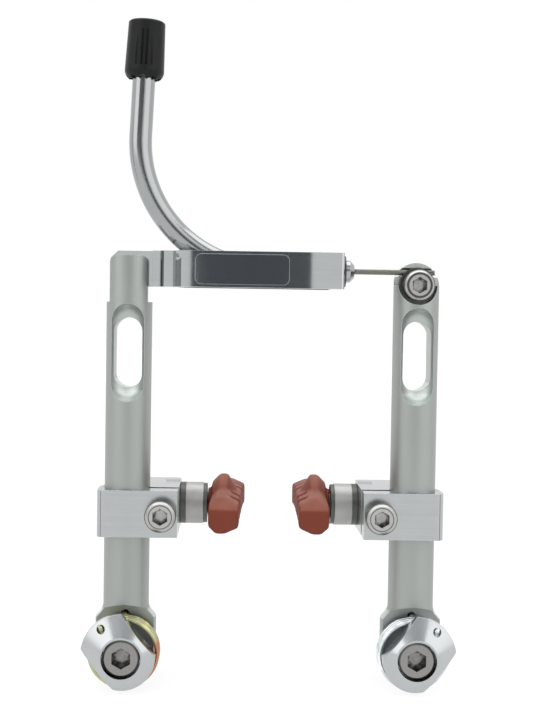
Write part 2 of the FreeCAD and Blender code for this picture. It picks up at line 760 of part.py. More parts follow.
def adjuster():
    """The polished plate whose wrench flats wind up the spring: a low cone in front."""
    x = -s.stud_spacing / 2
    flat_x = cosine(s.flats_angle)
    flat_z = sine(s.flats_angle)

    def corner(flat, radius, way):
        """Where a wrench flat meets a round edge; way is 1 above and -1 below."""
        along = root(radius * radius - flat * flat) * way
        side = flat if flat is s.inner_flat else -flat
        return (flat_x * side - flat_z * along, flat_z * side + flat_x * along)

    plate = new_body("adjuster_plate")
    sketch = sketch_on(plate, "XZ_Plane", "plate_outline")
    outline(
        sketch,
        [
            (*corner(s.inner_flat, s.lobe_radius, 1), s.lobe_radius, 1),
            corner(s.outer_flat, s.lobe_radius, 1),
            (*corner(s.outer_flat, s.adjuster_radius, -1), s.adjuster_radius, 1),
            (flat_z * s.adjuster_radius, -flat_x * s.adjuster_radius, s.adjuster_radius, 1),
            corner(s.inner_flat, s.adjuster_radius, -1),
        ],
    )
    feature(plate, "Pad", "plate_block", sketch, Length=s.adjuster_thickness)
    place(plate, (x, -plate_back, ZERO))
    cone = new_body("adjuster_cone")
    turned(
        cone,
        "turned_face",
        [
            (0, 0),
            (s.lobe_radius, 0),
            (s.lobe_radius, s.adjuster_rim),
            (s.adjuster_land, s.adjuster_thickness),
            (0, s.adjuster_thickness),
        ],
    )
    place(cone, (x, -plate_back, ZERO), ALONG["-Y"])
    hub = rod("plate_hub", (x, -s.bushing_length, ZERO), "-Y", s.adjuster_hub_radius, s.adjuster_hub)
    whole = joined("plate_and_hub", [common("plate", plate, cone), hub])
    recess = rod(
        "plate_recess", (x, -plate_back, ZERO), "-Y", s.adjuster_recess, s.adjuster_thickness + 1
    )
    through = rod(
        "plate_bore",
        (x, 1 - s.bushing_length, ZERO),
        "-Y",
        s.mount_bolt_radius + s.hole_play,
        s.adjuster_hub + 2,
    )
    leg = rod(
        "plate_leg_hole",
        (
            x + leg_circle * cosine(s.adjuster_leg_angle),
            1 - plate_back,
            leg_circle * sine(s.adjuster_leg_angle),
        ),
        "-Y",
        s.leg_hole_radius,
        s.adjuster_thickness + 2,
    )
    keep(
        cut("left_tension_adjuster", whole, [recess, through, leg]), "left_tension_adjuster"
    )


def spring():
    """The coil, bent into a leg at each end: one in the arm's hole, one in the adjuster's."""
    wire = s.spring_wire.value / 2
    gap = s.side_play.value
    radius = s.spring_radius.value
    bend = s.spring_bend.value
    back = s.arm_setback.value + s.pocket_floor.value + wire + gap
    front = plate_back.value - wire - gap
    # Each bend sets its leg back from the coil's end by this angle
    setback = math.degrees(math.atan2(bend, radius))
    turned_by = 360 * s.spring_turns.value + s.adjuster_leg_angle.value - 90 - 2 * setback
    rise = front - back
    upward = FreeCAD.Vector(0, 0, 1)

    def on_coil(share):
        angle = math.radians(turned_by * share)
        return FreeCAD.Vector(radius * math.cos(angle), radius * math.sin(angle), rise * share)

    # The coil is a chain of flat arcs, a third of a turn each, through points of the helix
    count = math.ceil(turned_by / 120)
    coil = []
    for number in range(count):
        ends = [on_coil((number + part / 2) / count) for part in (0, 1, 2)]
        coil.append(Part.Arc(*ends))
    begin = on_coil(0)
    finish = on_coil(1)
    shapes = [arc.toShape() for arc in coil]
    ahead = shapes[0].tangentAt(shapes[0].FirstParameter)
    onward = shapes[-1].tangentAt(shapes[-1].LastParameter)

    def bend_to_leg(point, away, leg_way):
        """Points of the arc from the coil's end, leaving along `away`, round to a leg."""
        axis = away.cross(leg_way).normalize()
        centre = point + axis.cross(away) * bend
        leg_start = centre - axis.cross(leg_way) * bend
        middle = ((point + leg_start) / 2 - centre).normalize() * bend + centre
        return middle, leg_start

    low_middle, low_leg = bend_to_leg(begin, -ahead, -upward)
    high_middle, high_leg = bend_to_leg(finish, onward, upward)
    leg = s.leg_length.value
    path = Part.Wire(
        [
            Part.LineSegment(low_leg - upward * leg, low_leg).toShape(),
            Part.Arc(low_leg, low_middle, begin).toShape(),
            *shapes,
            Part.Arc(finish, high_middle, high_leg).toShape(),
            Part.LineSegment(high_leg, high_leg + upward * leg).toShape(),
        ]
    )
    section = Part.Wire(Part.makeCircle(wire, low_leg - upward * leg, upward))
    # Local +Z runs forward, and local +X points up to the hole in the arm
    forward = FreeCAD.Rotation(
        FreeCAD.Vector(0, 0, 1), FreeCAD.Vector(-1, 0, 0), FreeCAD.Vector(0, -1, 0)
    )
    item = doc.addObject("Part::Feature", "left_return_spring")
    item.Shape = path.makePipeShell([section], True, False, 1)
    item.Placement = FreeCAD.Placement(
        FreeCAD.Vector(-s.stud_spacing.value / 2, -back, 0),
        forward * FreeCAD.Rotation(upward, setback),
    )
    keep(item, "left_return_spring")


def pad_clamp():
    """The split clamp round the left arm, with its bolt, and their twins."""
    x = -s.stud_spacing / 2
    bottom = s.clamp_height - s.clamp_tall / 2
    body = new_body("left_clamp_body")
    corner = s.clamp_round
    # Plan: a ring round the arm, jaws towards the pad, and a block behind for the stud
    sketch = sketch_on(body, "XY_Plane", "plan")
    outline(
        sketch,
        [
            (corner - clamp_r, -clamp_r),
            (s.clamp_reach, -clamp_r),
            (s.clamp_reach, s.block_back - corner, corner, 1),
            (s.clamp_reach - corner, s.block_back),
            (s.block_start, s.block_back),
            (s.block_start, clamp_r),
            (ZERO, clamp_r, clamp_r, 1),
            (-clamp_r, ZERO),
            (-clamp_r, corner - clamp_r, corner, 1),
        ],
    )
    feature(body, "Pad", "clamp_block", sketch, Length=s.clamp_tall)
    sketch = sketch_on(body, "XY_Plane", "arm_bore_outline")
    circle(sketch, 0, 0, arm_r + s.running_play)
    feature(body, "Pocket", "arm_bore", sketch, Type="ThroughAll", Reversed=True)
    sketch = sketch_on(body, "XY_Plane", "slit_outline")
    outline(
        sketch,
        [
            (ZERO, -s.slit_front),
            (s.clamp_reach + 1, -s.slit_front),
            (s.clamp_reach + 1, 0),
            (ZERO, 0),
        ],
    )
    feature(body, "Pocket", "slit", sketch, Type="ThroughAll", Reversed=True)
    place(body, (x, arm_y, bottom))
    # The rear block is round above and below at its pad end, and lower behind it
    stud_y = arm_y + s.stud_back
    boss = rod(
        "clamp_boss",
        (x + s.clamp_reach - s.boss_length, stud_y, s.clamp_height),
        "+X",
        s.boss_radius,
        s.boss_length,
    )
    whole = joined("clamp_and_boss", [body, boss])
    stud_hole = rod(
        "clamp_stud_hole",
        (x + s.block_start - 1, stud_y, s.clamp_height),
        "+X",
        s.pad_stud_radius + s.stud_play,
        s.clamp_reach - s.block_start + 2,
    )
    screw_hole = rod(
        "clamp_screw_hole",
        (x + s.clamp_bolt_reach, arm_y - clamp_r - 1, s.clamp_height),
        "+Y",
        s.small_bolt_radius + s.screw_play,
        1 + s.clamp_bolt_length + s.side_play,
    )
    keep(cut("left_pad_clamp", whole, [stud_hole, screw_hole]), "left_pad_clamp")
    small_screw(
        "left_clamp_bolt",
        (x + s.clamp_bolt_reach, arm_y - clamp_r, s.clamp_height),
        s.clamp_bolt_length,
    )
    twins("pad_clamp", "clamp_bolt")


def washers():
    """Stud, washers and nut of the left pad, along +X from the clamp, and their twins."""
    x = -s.stud_spacing / 2
    y = arm_y + s.stud_back
    z = s.clamp_height
    bore = s.pad_stud_radius + s.hole_play
    ball_centre = s.cup_ball - s.ball_height
    mouth = root(s.cup_ball * s.cup_ball - ball_centre * ball_centre)
    bore_depth = s.cup_ball - root(s.cup_ball * s.cup_ball - bore * bore)

    def ring(label, start, along, corners):
        body = new_body(label)
        turned(body, "turned_ring", corners)
        place(body, (x + start, y, z), ALONG[along])
        return keep(body, label)

    # Heights count from the clamp's face outward; the cup's hollow takes the ball
    cup = s.cup_thickness
    hollow = cup - s.ball_height
    cup_corners = [
        (bore, 0),
        (s.washer_radius, 0),
        (s.washer_radius, cup),
        (mouth, cup, s.cup_ball, 1),
        (bore, hollow + bore_depth),
    ]
    dome = s.ball_height - s.face_gap

    def domed(plain):
        return [
            (bore, bore_depth - dome),
            (bore, plain),
            (s.washer_radius, plain),
            (s.washer_radius, 0),
            (mouth, 0, s.cup_ball, -1),
        ]

    ring("left_inner_cup_washer", s.clamp_reach + s.face_gap, "+X", cup_corners)
    ring(
        "left_pad_spacer",
        s.clamp_reach + s.face_gap + cup,
        "+X",
        domed(s.spacer_length),
    )
    ring(
        "left_thin_washer",
        pad_start - s.thin_washer,
        "+X",
        [
            (bore, 0),
            (s.thin_washer_radius, 0),
            (s.thin_washer_radius, s.thin_washer),
            (bore, s.thin_washer),
        ],
    )
    ring("left_outer_cup_washer", s.block_start - s.face_gap, "-X", cup_corners)
    outer_end = s.block_start - s.face_gap - cup
    ring("left_outer_dome_washer", outer_end, "-X", domed(s.outer_spacer))
    nut_seat = outer_end - s.outer_spacer
    nut = new_body("left_pad_nut")
    sketch = sketch_on(nut, "XY_Plane", "nut_outline")
    hexagon(sketch, s.nut_flats)
    feature(nut, "Pad", "nut_block", sketch, Length=s.nut_height)
    sketch = sketch_on(nut, "XY_Plane", "nut_bore_outline")
    circle(sketch, 0, 0, bore)
    feature(nut, "Pocket", "nut_bore", sketch, Type="ThroughAll", Reversed=True)
    place(nut, (x + nut_seat, y, z), ALONG["-X"])
    keep(nut, "left_pad_nut")
    stud_start = nut_seat - s.nut_height - s.stud_beyond_nut
    stud_end = pad_start + s.neck_length + s.stud_in_pad
    stud = new_body("left_pad_stud")
    turned(
        stud,
        "turned_stud",
        [
            (0, 0),
            (s.pad_stud_radius - s.big_screw_bevel, 0),
            (s.pad_stud_radius, s.big_screw_bevel),
            (s.pad_stud_radius, stud_end - stud_start),
            (0, stud_end - stud_start),
        ],
    )
    place(stud, (x + stud_start, y, z), ALONG["+X"])
    keep(stud, "left_pad_stud")
    twins(
        "inner_cup_washer",
        "pad_spacer",
        "thin_washer",
        "outer_cup_washer",
        "outer_dome_washer",
        "pad_nut",
        "pad_stud",
    )


def pad_rubber(label, side, toe):
    """The moulded pad, swept round the wheel's axle so that it follows the rim."""
    body = new_body(f"{label}_block")
    # Sketch x runs from the pad's neck to the rim, sketch y up from the wheel's axle
    base = s.rim_radius - s.pad_tall / 2
    top = s.rim_radius + s.pad_tall / 2
    back = s.neck_length
    rim_face = back + s.pad_thick
    full = back + s.pad_back_round
    taper = rim_face - s.pad_taper
    middle = s.rim_radius
    sketch = sketch_on(body, "XZ_Plane", "pad_section")
    outline(
        sketch,
        [
            (back, middle - s.pad_back_tall / 2),
            (full, base),
            (taper, base),
            (rim_face, middle - s.pad_face_tall / 2),
            (rim_face, middle + s.pad_face_tall / 2),
            (taper, top),
            (full, top),
            (back, middle + s.pad_back_tall / 2),
        ],
    )
    ahead = s.pad_ahead / s.rim_radius * 180 / math.pi
    behind = s.pad_behind / s.rim_radius * 180 / math.pi
    item = body.newObject("PartDesign::Revolution", "pad_sweep")
    item.Profile = sketch
    item.ReferenceAxis = (sketch, ["H_Axis"])
    item.Type = "TwoAngles"
    bind(item, "Angle", ahead)
    bind(item, "Angle2", behind)
    body.Tip = item
    place(body, (ZERO, ZERO, -s.rim_radius))
    neck = rod(f"{label}_neck", (ZERO, ZERO, ZERO), "+X", s.neck_radius, s.neck_length + 1)
    # A hump over the stud, turned about its axis and cut off level with the pad's lower side
    hump_body = new_body(f"{label}_hump_body")
    turned(
        hump_body,
        "turned_hump",
        [
            (0, back),
            (s.hump_back, back),
            (s.hump_radius, back + s.hump_ridge),
            (s.hump_radius, back + s.hump_end),
            (s.hump_front, taper + s.hump_ridge),
            (0, taper + s.hump_ridge),
        ],
    )
    place(hump_body, (ZERO, ZERO, ZERO), ALONG["+X"])
    reach = s.hump_radius + 1
    upper = block(f"{label}_hump_room", (0, -reach, 0), (rim_face, reach, reach))
    hump = common(f"{label}_hump", hump_body, upper)
    whole = joined(f"{label}_body", [body, neck, hump])
    # The upper edge of each end is bevelled at 45 degrees
    noses = []
    for name, way, end, angle in (
        ("ahead", -1, s.pad_ahead, 135),
        ("behind", 1, s.pad_behind, -45),
    ):
        sag = s.rim_radius - root(s.rim_radius * s.rim_radius - end * end)
        nose = block(f"{label}_nose_{name}", (0, 0, 0), (rim_face + 2, s.pad_tall, s.pad_tall))
        edge = way * (end - s.pad_nose * 2)
        place(nose, (-1, edge, s.pad_tall / 2 - sag + s.pad_nose), ((1, 0, 0), angle))
        noses.append(nose)
    hole = rod(
        f"{label}_hole",
        (-1, ZERO, ZERO),
        "+X",
        s.pad_stud_radius + s.stud_play,
        1 + s.neck_length + s.stud_in_pad + s.turning_gap,
    )
    slots = []
    rim = s.neck_length + s.pad_thick
    for number, share in enumerate(PAD_SLOTS):
        centre = (s.pad_behind if share > 0 else s.pad_ahead) * share
        slots.append(
            block(
                f"{label}_slot{number}",
                (rim - s.pad_slot_depth, centre - s.pad_slot_width / 2, -s.pad_tall),
                (rim + 1, centre + s.pad_slot_width / 2, s.pad_tall),
            )
        )
    finished = cut(f"{label}_cut", whole, [hole, *noses, *slots])
    if side > 0:
        finished = mirrored(finished, f"{label}_flipped")
    # The pad's neck stands a little off the washer, because the pad is toed in
    wedge = s.neck_radius * sine(s.left_toe)
    reach = s.stud_spacing / 2 - pad_start - wedge
    place(finished, (side * reach, arm_y + s.stud_back, s.clamp_height), ((0, 0, 1), side * toe))
    keep(finished, label)


def link():
    """The box link: an eye behind the tang, a stepped neck and a loop round the noodle."""
    x = -s.stud_spacing / 2
    bottom = s.cable_height - s.link_below
    tall = s.link_below + s.link_above
    front = -s.link_half_width
    eye_front = s.side_play - s.tang_back
    eye_back = eye_front + s.lug_thickness
    body = new_body("link_body")
    sketch = sketch_on(body, "XY_Plane", "plan")
    step = s.lug_reach
    waist = s.waist_start
    outline(
        sketch,
        [
            (-s.lug_radius, eye_front),
            (step, eye_front),
            (step, -s.neck_step),
            (waist, -s.neck_step, s.neck_waist - s.neck_step, 1),
            (waist + s.neck_waist - s.neck_step, -s.neck_waist),
            (s.waist_end, -s.neck_waist),
            (s.neck_end, front),
            (s.link_end - s.link_corner, front, s.link_corner, 1),
            (s.link_end, front + s.link_corner),
            (s.link_end, -front - s.link_corner, s.link_corner, 1),
            (s.link_end - s.link_corner, -front),
            (s.neck_end, -front),
            (waist, eye_back),
            (-s.lug_radius, eye_back),
        ],
    )
    feature(body, "Pad", "link_bar", sketch, Length=tall)
    inner = s.link_half_width - s.link_wall
    sketch = sketch_on(body, "XY_Plane", "loop_outline")
    outline(
        sketch,
        [
            (s.link_slot_start, 0, inner, 1),
            (s.link_slot_start + inner, -inner),
            (link_wall_in, -inner),
            (link_wall_in, inner),
            (s.link_slot_start + inner, inner, inner, 1),
        ],
    )
    feature(body, "Pocket", "loop", sketch, Type="ThroughAll", Reversed=True)
    # Sunk panel on the front, left bare
    corner = s.panel_round
    half = s.panel_tall / 2
    sketch = sketch_on(body, "XZ_Plane", "panel_outline", s.link_half_width)
    left = s.panel_start
    right = s.panel_start + s.panel_length
    low = tall / 2 - half
    high = tall / 2 + half
    outline(
        sketch,
        [
            (left, low + corner, corner, 1),
            (left + corner, low),
            (right - corner, low, corner, 1),
            (right, low + corner),
            (right, high - corner, corner, 1),
            (right - corner, high),
            (left + corner, high, corner, 1),
            (left, high - corner),
        ],
    )
    feature(body, "Pocket", "panel", sketch, Length=s.panel_depth)
    place(body, (x, arm_y, bottom))
    eye = rod(
        "link_eye",
        (x, arm_y + eye_front - 1, s.cable_height),
        "+Y",
        s.link_shoulder_radius + s.running_play,
        s.lug_thickness + 2,
    )
    tip_hole = rod(
        "link_tip_hole",
        (x + link_wall_in - 1, arm_y, s.cable_height),
        "+X",
        s.tip_radius + s.hole_play,
        s.link_end_wall + 2,
    )
    # Each bevel is cut by a block that stands on its edge
    bevels = []
    for name, start_x, start_z, turn in (
        ("upper", x - s.lug_radius + s.eye_bevel, s.cable_height + s.link_above, -135),
        ("lower", x - s.lug_radius, bottom + s.eye_bevel, 135),
    ):
        bevel = doc.addObject("Part::Box", f"{name}_eye_bevel")
        bind(bevel, "Length", s.eye_bevel * 2)
        bind(bevel, "Width", s.lug_thickness + 2)
        bind(bevel, "Height", s.eye_bevel * 2)
        start = (start_x, arm_y + eye_front - 1, start_z)
        bevels.append(place(bevel, start, ((0, 1, 0), turn)))
    keep(cut("noodle_link", body, [eye, tip_hole, *bevels]), "noodle_link")

    washer = new_body("link_thrust_washer")
    turned(
        washer,
        "turned_washer",
        [
            (s.link_shoulder_radius + s.screw_play, 0),
            (s.link_washer_radius, 0),
            (s.link_washer_radius, s.link_washer),
            (s.link_shoulder_radius + s.screw_play, s.link_washer),
        ],
    )
    washer_seat = eye_back + s.turning_gap
    place(washer, (x, arm_y + washer_seat, s.cable_height), ALONG["+Y"])
    keep(washer, "link_thrust_washer")
    # The shoulder stands on the tang's back face and carries the eye
    shoulder = washer_seat + s.link_washer + s.tang_back
    head = s.link_head_height
    bolt = new_body("link_pivot_bolt")
    turned(
        bolt,
        "turned_pivot_bolt",
        [
            (0, -shoulder - s.link_thread_length),
            (s.small_bolt_radius - s.screw_bevel, -shoulder - s.link_thread_length),
            (s.small_bolt_radius, s.screw_bevel - shoulder - s.link_thread_length),
            (s.small_bolt_radius, -shoulder),
            (s.link_shoulder_radius, -shoulder),
            (s.link_shoulder_radius, 0),
            (s.link_head_radius, 0),
            (s.link_head_radius, s.link_head_rim),
            (s.link_head_radius - s.link_head_slope, head),
            (0, head),
        ],
    )
    socket(bolt, s.link_key, head)
    place(bolt, (x, arm_y + washer_seat + s.link_washer, s.cable_height), ALONG["+Y"])
    keep(bolt, "link_pivot_bolt")


def noodle():
    """The bent guide tube with its tip, spring clip and rubber boot."""
    pivot = -s.stud_spacing / 2
    bend_x = pivot + s.bend_from_link
    centre_z = s.cable_height + s.bend_radius
    collar_x = pivot + link_wall_in - s.collar_length - s.turning_gap
    leg_x = bend_x - s.bend_radius * sine(s.bend_angle)
    leg_z = centre_z - s.bend_radius * cosine(s.bend_angle)
    lean = ((0, 1, 0), leg_tilt)

    def run(name, radius, straight_start, leg_end):
        straight = rod(
            f"{name}_straight",
            (bend_x, arm_y, s.cable_height),
            "+X",
            radius,
            straight_start,
        )
        bend = doc.addObject("Part::Torus", f"{name}_bend")
        bind(bend, "Radius1", s.bend_radius)
        bind(bend, "Radius2", radius)
        bind(bend, "Angle3", s.bend_angle)
        # The ring starts straight below its centre and climbs to the left
        bend.Placement = FreeCAD.Placement(
            FreeCAD.Vector(bend_x.value, arm_y.value, centre_z.value),
            FreeCAD.Rotation(
                FreeCAD.Vector(0, 0, -1), FreeCAD.Vector(-1, 0, 0), FreeCAD.Vector(0, 1, 0)
            ),
        )
        for letter, value in zip("xyz", (bend_x, arm_y, centre_z)):
            bend.setExpression(f".Placement.Base.{letter}", value.text)
        leg = doc.addObject("Part::Cylinder", f"{name}_leg")
        bind(leg, "Radius", radius)
        bind(leg, "Height", leg_end)
        place(leg, (leg_x, arm_y, leg_z), lean)
        return joined(name, [straight, bend, leg])

    straight = collar_x - bend_x
    outer = run("tube_skin", s.tube_radius, straight, s.leg_straight)
    inner = run("tube_bore_core", s.tube_bore, straight, s.leg_straight)
    socket_start = s.leg_straight - s.socket_depth
    hollow = doc.addObject("Part::Cylinder", "housing_socket")
    bind(hollow, "Radius", s.socket_radius)
    bind(hollow, "Height", s.socket_depth + 1)
    place(
        hollow,
        (
            leg_x + socket_start * sine(leg_tilt),
            arm_y,
            leg_z + socket_start * cosine(leg_tilt),
        ),
        lean,
    )
    keep(cut("noodle_tube", outer, [inner, hollow]), "noodle_tube")

    tip = new_body("noodle_tip")
    wall_out = s.collar_length + s.turning_gap + s.link_end_wall
    clip = wall_out + s.clip_gap
    clip_end = clip + s.clip_thickness + s.face_gap * 2
    end = wall_out + s.tip_length
    turned(
        tip,
        "turned_tip",
        [
            (s.tube_bore, 0),
            (s.collar_radius, 0),
            (s.collar_radius, s.collar_length),
            (s.tip_radius, s.collar_length),
            (s.tip_radius, clip),
            (s.clip_groove, clip),
            (s.clip_groove, clip_end),
            (s.tip_radius, clip_end),
            (s.tip_radius, end - s.tip_bevel),
            (s.tip_radius - s.tip_bevel, end),
            (s.tube_bore, end),
        ],
    )
    place(tip, (collar_x, arm_y, s.cable_height), ALONG["+X"])
    keep(tip, "noodle_tip")

    ring = new_body("noodle_clip")
    sketch = sketch_on(ring, "XY_Plane", "clip_outline")
    circle(sketch, 0, 0, s.clip_radius)
    feature(ring, "Pad", "clip_disc", sketch, Length=s.clip_thickness)
    sketch = sketch_on(ring, "XY_Plane", "clip_hole_outline")
    circle(sketch, 0, 0, s.clip_groove + s.face_gap)
    feature(ring, "Pocket", "clip_hole", sketch, Type="ThroughAll", Reversed=True)
    # The clip's mouth, open to the rear of the brake
    mouth = s.clip_mouth / 2
    sketch = sketch_on(ring, "XY_Plane", "clip_mouth_outline")
    outline(
        sketch,
        [
            (-mouth, 0),
            (mouth, 0),
            (mouth, s.clip_radius + 1),
            (-mouth, s.clip_radius + 1),
        ],
    )
    feature(ring, "Pocket", "clip_mouth", sketch, Type="ThroughAll", Reversed=True)
    place(ring, (collar_x + clip + s.face_gap, arm_y, s.cable_height), ALONG["+X"])
    keep(ring, "noodle_clip")

    boot = new_body("noodle_boot")
    inside = s.tube_radius + s.running_play
    foot = s.boot_radius - s.boot_foot
    foot_round = (foot * foot + s.boot_round * s.boot_round) / (foot * 2)
    turned(
        boot,
        "turned_boot",
        [
            (inside, 0),
            (s.boot_foot, 0, foot_round, 1),
            (s.boot_radius, s.boot_round),
            (s.boot_top_radius, s.boot_length - s.boot_bevel),
            (s.boot_top_radius - s.boot_bevel, s.boot_length),
            (s.boot_mouth_radius, s.boot_length),
            (s.boot_mouth_radius, s.boot_length - s.boot_overhang),
            (inside, s.boot_length - s.boot_overhang),
        ],
    )
    # Grip grooves in front and behind
    half = s.boot_groove_width / 2
    for name, way in (("front", 1), ("rear", -1)):
        sketch = sketch_on(boot, "XZ_Plane", f"{name}_groove_outline", s.boot_groove * way)
        for x in GRIP_GROOVES:
            high = s.boot_groove_short if abs(x) > 1 else s.boot_groove_high
            upright_slot(sketch, x, s.boot_groove_low + half, high - half, half)
        feature(
            boot, "Pocket", f"{name}_grooves", sketch, Length=s.boot_radius, Reversed=way > 0
        )
    # Lobes round the lower end
    sketch = sketch_on(boot, "XZ_Plane", "notch_outline")
    circle(sketch, 0, -s.lobe_notch / 3, s.lobe_notch)
    notch = feature(boot, "Pocket", "notch", sketch, Length=s.boot_radius + 1, Reversed=True)
    doc.recompute()
    pattern = boot.newObject("PartDesign::PolarPattern", "notches")
    pattern.Originals = [notch]
    pattern.Axis = (sketch, ["V_Axis"])
    pattern.Angle = 360
    pattern.Occurrences = int(s.boot_lobes.value)
    pattern.setExpression("Occurrences", s.boot_lobes.text)
    boot.Tip = pattern
    boot_start = s.leg_straight + s.boot_overhang - s.boot_length
    place(
        boot,
        (leg_x + boot_start * sine(leg_tilt), arm_y, leg_z + boot_start * cosine(leg_tilt)),
        lean,
    )
    keep(boot, "noodle_boot")


def wire_and_anchor():
    x = s.stud_spacing / 2
    wire = rod(
        "brake_wire",
        (x - s.wire_start, arm_y, s.cable_height),
        "+X",
        wire_r,
        s.wire_start + s.wire_reach,
    )
    keep(wire, "brake_wire")
    washer_back = wire_r + s.turning_gap
    washer = new_body("anchor_washer")
    turned(
        washer,
        "turned_anchor_washer",
        [
            (s.small_bolt_radius + s.hole_play, 0),
            (s.anchor_washer_radius, 0),
            (s.anchor_washer_radius, s.anchor_washer_thickness),
            (s.small_bolt_radius + s.hole_play, s.anchor_washer_thickness),
        ],
    )
    place(washer, (x, arm_y - washer_back, anchor_height), ALONG["-Y"])
    keep(washer, "anchor_washer")
    under_head = washer_back + s.anchor_washer_thickness
    small_screw(
        "anchor_bolt",
        (x, arm_y - under_head, anchor_height),
        under_head + s.anchor_bolt_depth,
    )


left_arm()
right_arm()
pivot_stack()
pad_clamp()
washers()
pad_rubber("left_brake_pad", -1, s.left_toe)
pad_rubber("right_brake_pad", 1, s.right_toe)
link()
noodle()
wire_and_anchor()
doc.recompute()

for obj in doc.Objects:
    if "Invalid" in obj.State or "Error" in obj.State:
        raise RuntimeError(f"{obj.Label} failed to compute: {obj.State}")
os.makedirs("parts", exist_ok=True)
for part in PARTS:
    shape = part.Shape
    if shape.isNull() or not shape.isValid() or shape.Volume <= 0:
        raise RuntimeError(f"{part.Label} has no valid shape")
for part in PARTS:
    part.Shape.exportStep(f"parts/{part.Label}.step")
print(f"{len(PARTS)} parts written")
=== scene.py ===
import math

import bpy
from bpy.props import FloatProperty, FloatVectorProperty, IntProperty, PointerProperty
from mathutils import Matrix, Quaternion, Vector


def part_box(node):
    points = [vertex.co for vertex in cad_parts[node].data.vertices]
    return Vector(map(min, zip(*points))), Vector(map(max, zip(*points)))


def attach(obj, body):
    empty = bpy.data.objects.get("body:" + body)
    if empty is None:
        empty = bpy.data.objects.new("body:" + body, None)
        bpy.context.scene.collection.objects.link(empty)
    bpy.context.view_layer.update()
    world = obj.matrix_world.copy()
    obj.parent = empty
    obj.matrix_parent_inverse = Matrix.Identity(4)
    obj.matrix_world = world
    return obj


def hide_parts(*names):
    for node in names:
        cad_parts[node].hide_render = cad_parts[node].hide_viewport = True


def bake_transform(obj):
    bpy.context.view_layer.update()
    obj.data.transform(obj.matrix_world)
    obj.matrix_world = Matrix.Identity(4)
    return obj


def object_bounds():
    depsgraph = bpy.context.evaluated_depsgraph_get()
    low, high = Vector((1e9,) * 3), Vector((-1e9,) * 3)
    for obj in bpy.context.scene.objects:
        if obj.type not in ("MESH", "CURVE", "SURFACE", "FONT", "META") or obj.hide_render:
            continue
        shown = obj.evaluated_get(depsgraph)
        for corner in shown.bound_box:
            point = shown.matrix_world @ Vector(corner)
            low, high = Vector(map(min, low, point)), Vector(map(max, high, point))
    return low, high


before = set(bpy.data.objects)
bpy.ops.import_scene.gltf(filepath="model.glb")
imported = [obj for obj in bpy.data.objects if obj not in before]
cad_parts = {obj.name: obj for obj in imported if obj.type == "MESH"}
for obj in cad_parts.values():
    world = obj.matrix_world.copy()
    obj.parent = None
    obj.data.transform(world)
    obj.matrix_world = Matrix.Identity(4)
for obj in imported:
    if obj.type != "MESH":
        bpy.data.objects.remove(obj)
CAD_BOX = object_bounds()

bl_info = {
    "name": "Linear-pull brake",
    "version": (1, 0, 0),
    "blender": (4, 5, 0),
    "location": "View3D > Sidebar > Brake",
    "description": "Finishes of a bicycle's linear-pull brake, and the stage that it is shown on",
    "category": "Object",
}

MM = 0.001
SIDES = ("left", "right")
MERGE_DISTANCE = 0.001 * MM
SMOOTH_ANGLE = math.radians(50)


def middle(node):
    """The middle of a node's box at rest."""
    low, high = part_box(node)
    return (Vector(low) + Vector(high)) / 2


def front_of(node):
    """How far forward a node reaches, along Y."""
    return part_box(node)[0][1]


# Places that the finishes follow; arms, link and wire share one plane
PIVOT = middle("right_mount_bolt")
CLAMP_REACH = -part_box("left_pad_clamp")[0][0]
LINK_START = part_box("noodle_link")[0][0]
ARM_AXIS_Y = middle("noodle_link").y
ARM_RADIUS = 6.35 * MM
WINDOW_FOOT = 60.0 * MM

# The link's sunk panel and the groove before it, from the link's front and left end
PANEL_DEPTH = 0.35 * MM
PANEL_START = 20.0 * MM
GROOVE_PLACE = 14.6 * MM

# The clamp's painted dark line where its face rounds off, from its outer end, and the painted
# shade in rings round the heads of small bolts
CLAMP_SHADE_LINE = 1.16 * MM
CLAMP_BOLT_SHADED_RINGS = (3.15 * MM, 4.2 * MM)
ANCHOR_BOLT_SHADED_RINGS = (3.05 * MM, 3.25 * MM, 3.45 * MM, 4.2 * MM)

# Hexagon sockets: reach of the corners and depth
MOUNT_SOCKET = (3.1 * MM, 2.9 * MM)
SMALL_SOCKET = (2.6 * MM, 3.0 * MM)

# Sides of a wire strand, and its steps in one turn round the wire
STRAND_SIDES = 8
STRAND_STEPS = 16

# Floor: how much it glows near the object, and the distances over which that rises to all
FLOOR_WIDTH = 6.0
FLOOR_GAP = 0.2 * MM
NEAR_GLOW = 0.8
SHADOW_REACH = (0.25, 1.2)

# Lamps: place, width and power
LAMPS = {
    "lamp_left": ((-1.0, -1.0, 1.0), 1.8, 8.0),
    "lamp_right": ((1.1, -0.8, 0.75), 1.5, 4.5),
    "lamp_above": ((0.0, -0.1, 1.1), 1.5, 9.0),
}
LAMP_AIM = Vector((0, 0, 0.08))

# Cards: middle, width and height, turn in degrees, and cloth
CARDS = {
    "card_low": ((0.0028, -0.8, 0.14), (0.1115, 0.1), (90, 0, 0), "dark_card"),
    "card_high": ((-0.19, -0.8, 0.33), (0.75, 0.27), (90, 0, 0), "dark_card"),
    "card_above": ((0.0, -0.55, 0.9), (1.3, 0.5), (0, 0, 0), "grey_card"),
    "card_left": ((-0.8, -0.06, 0.05), (0.06, 0.5), (90, 0, 90), "dark_card"),
}
# Share of the light that each cloth stops, and where it fades out along a card of width 1
CLOTHS = {"dark_card": 1.0, "grey_card": 0.82}
CLOTH_EDGE = (0.5, 0.48)


def colour_property(name, description, default):
    return FloatVectorProperty(
        name=name,
        description=description,
        subtype="COLOR",
        size=3,
        min=0.0,
        max=1.0,
        default=default,
    )


def angle_property(name, description, degrees):
    return FloatProperty(
        name=name, description=description, subtype="ANGLE", default=math.radians(degrees)
    )


def length_property(name, description, default, least=0.0):
    return FloatProperty(
        name=name, description=description, unit="LENGTH", default=default, min=least
    )


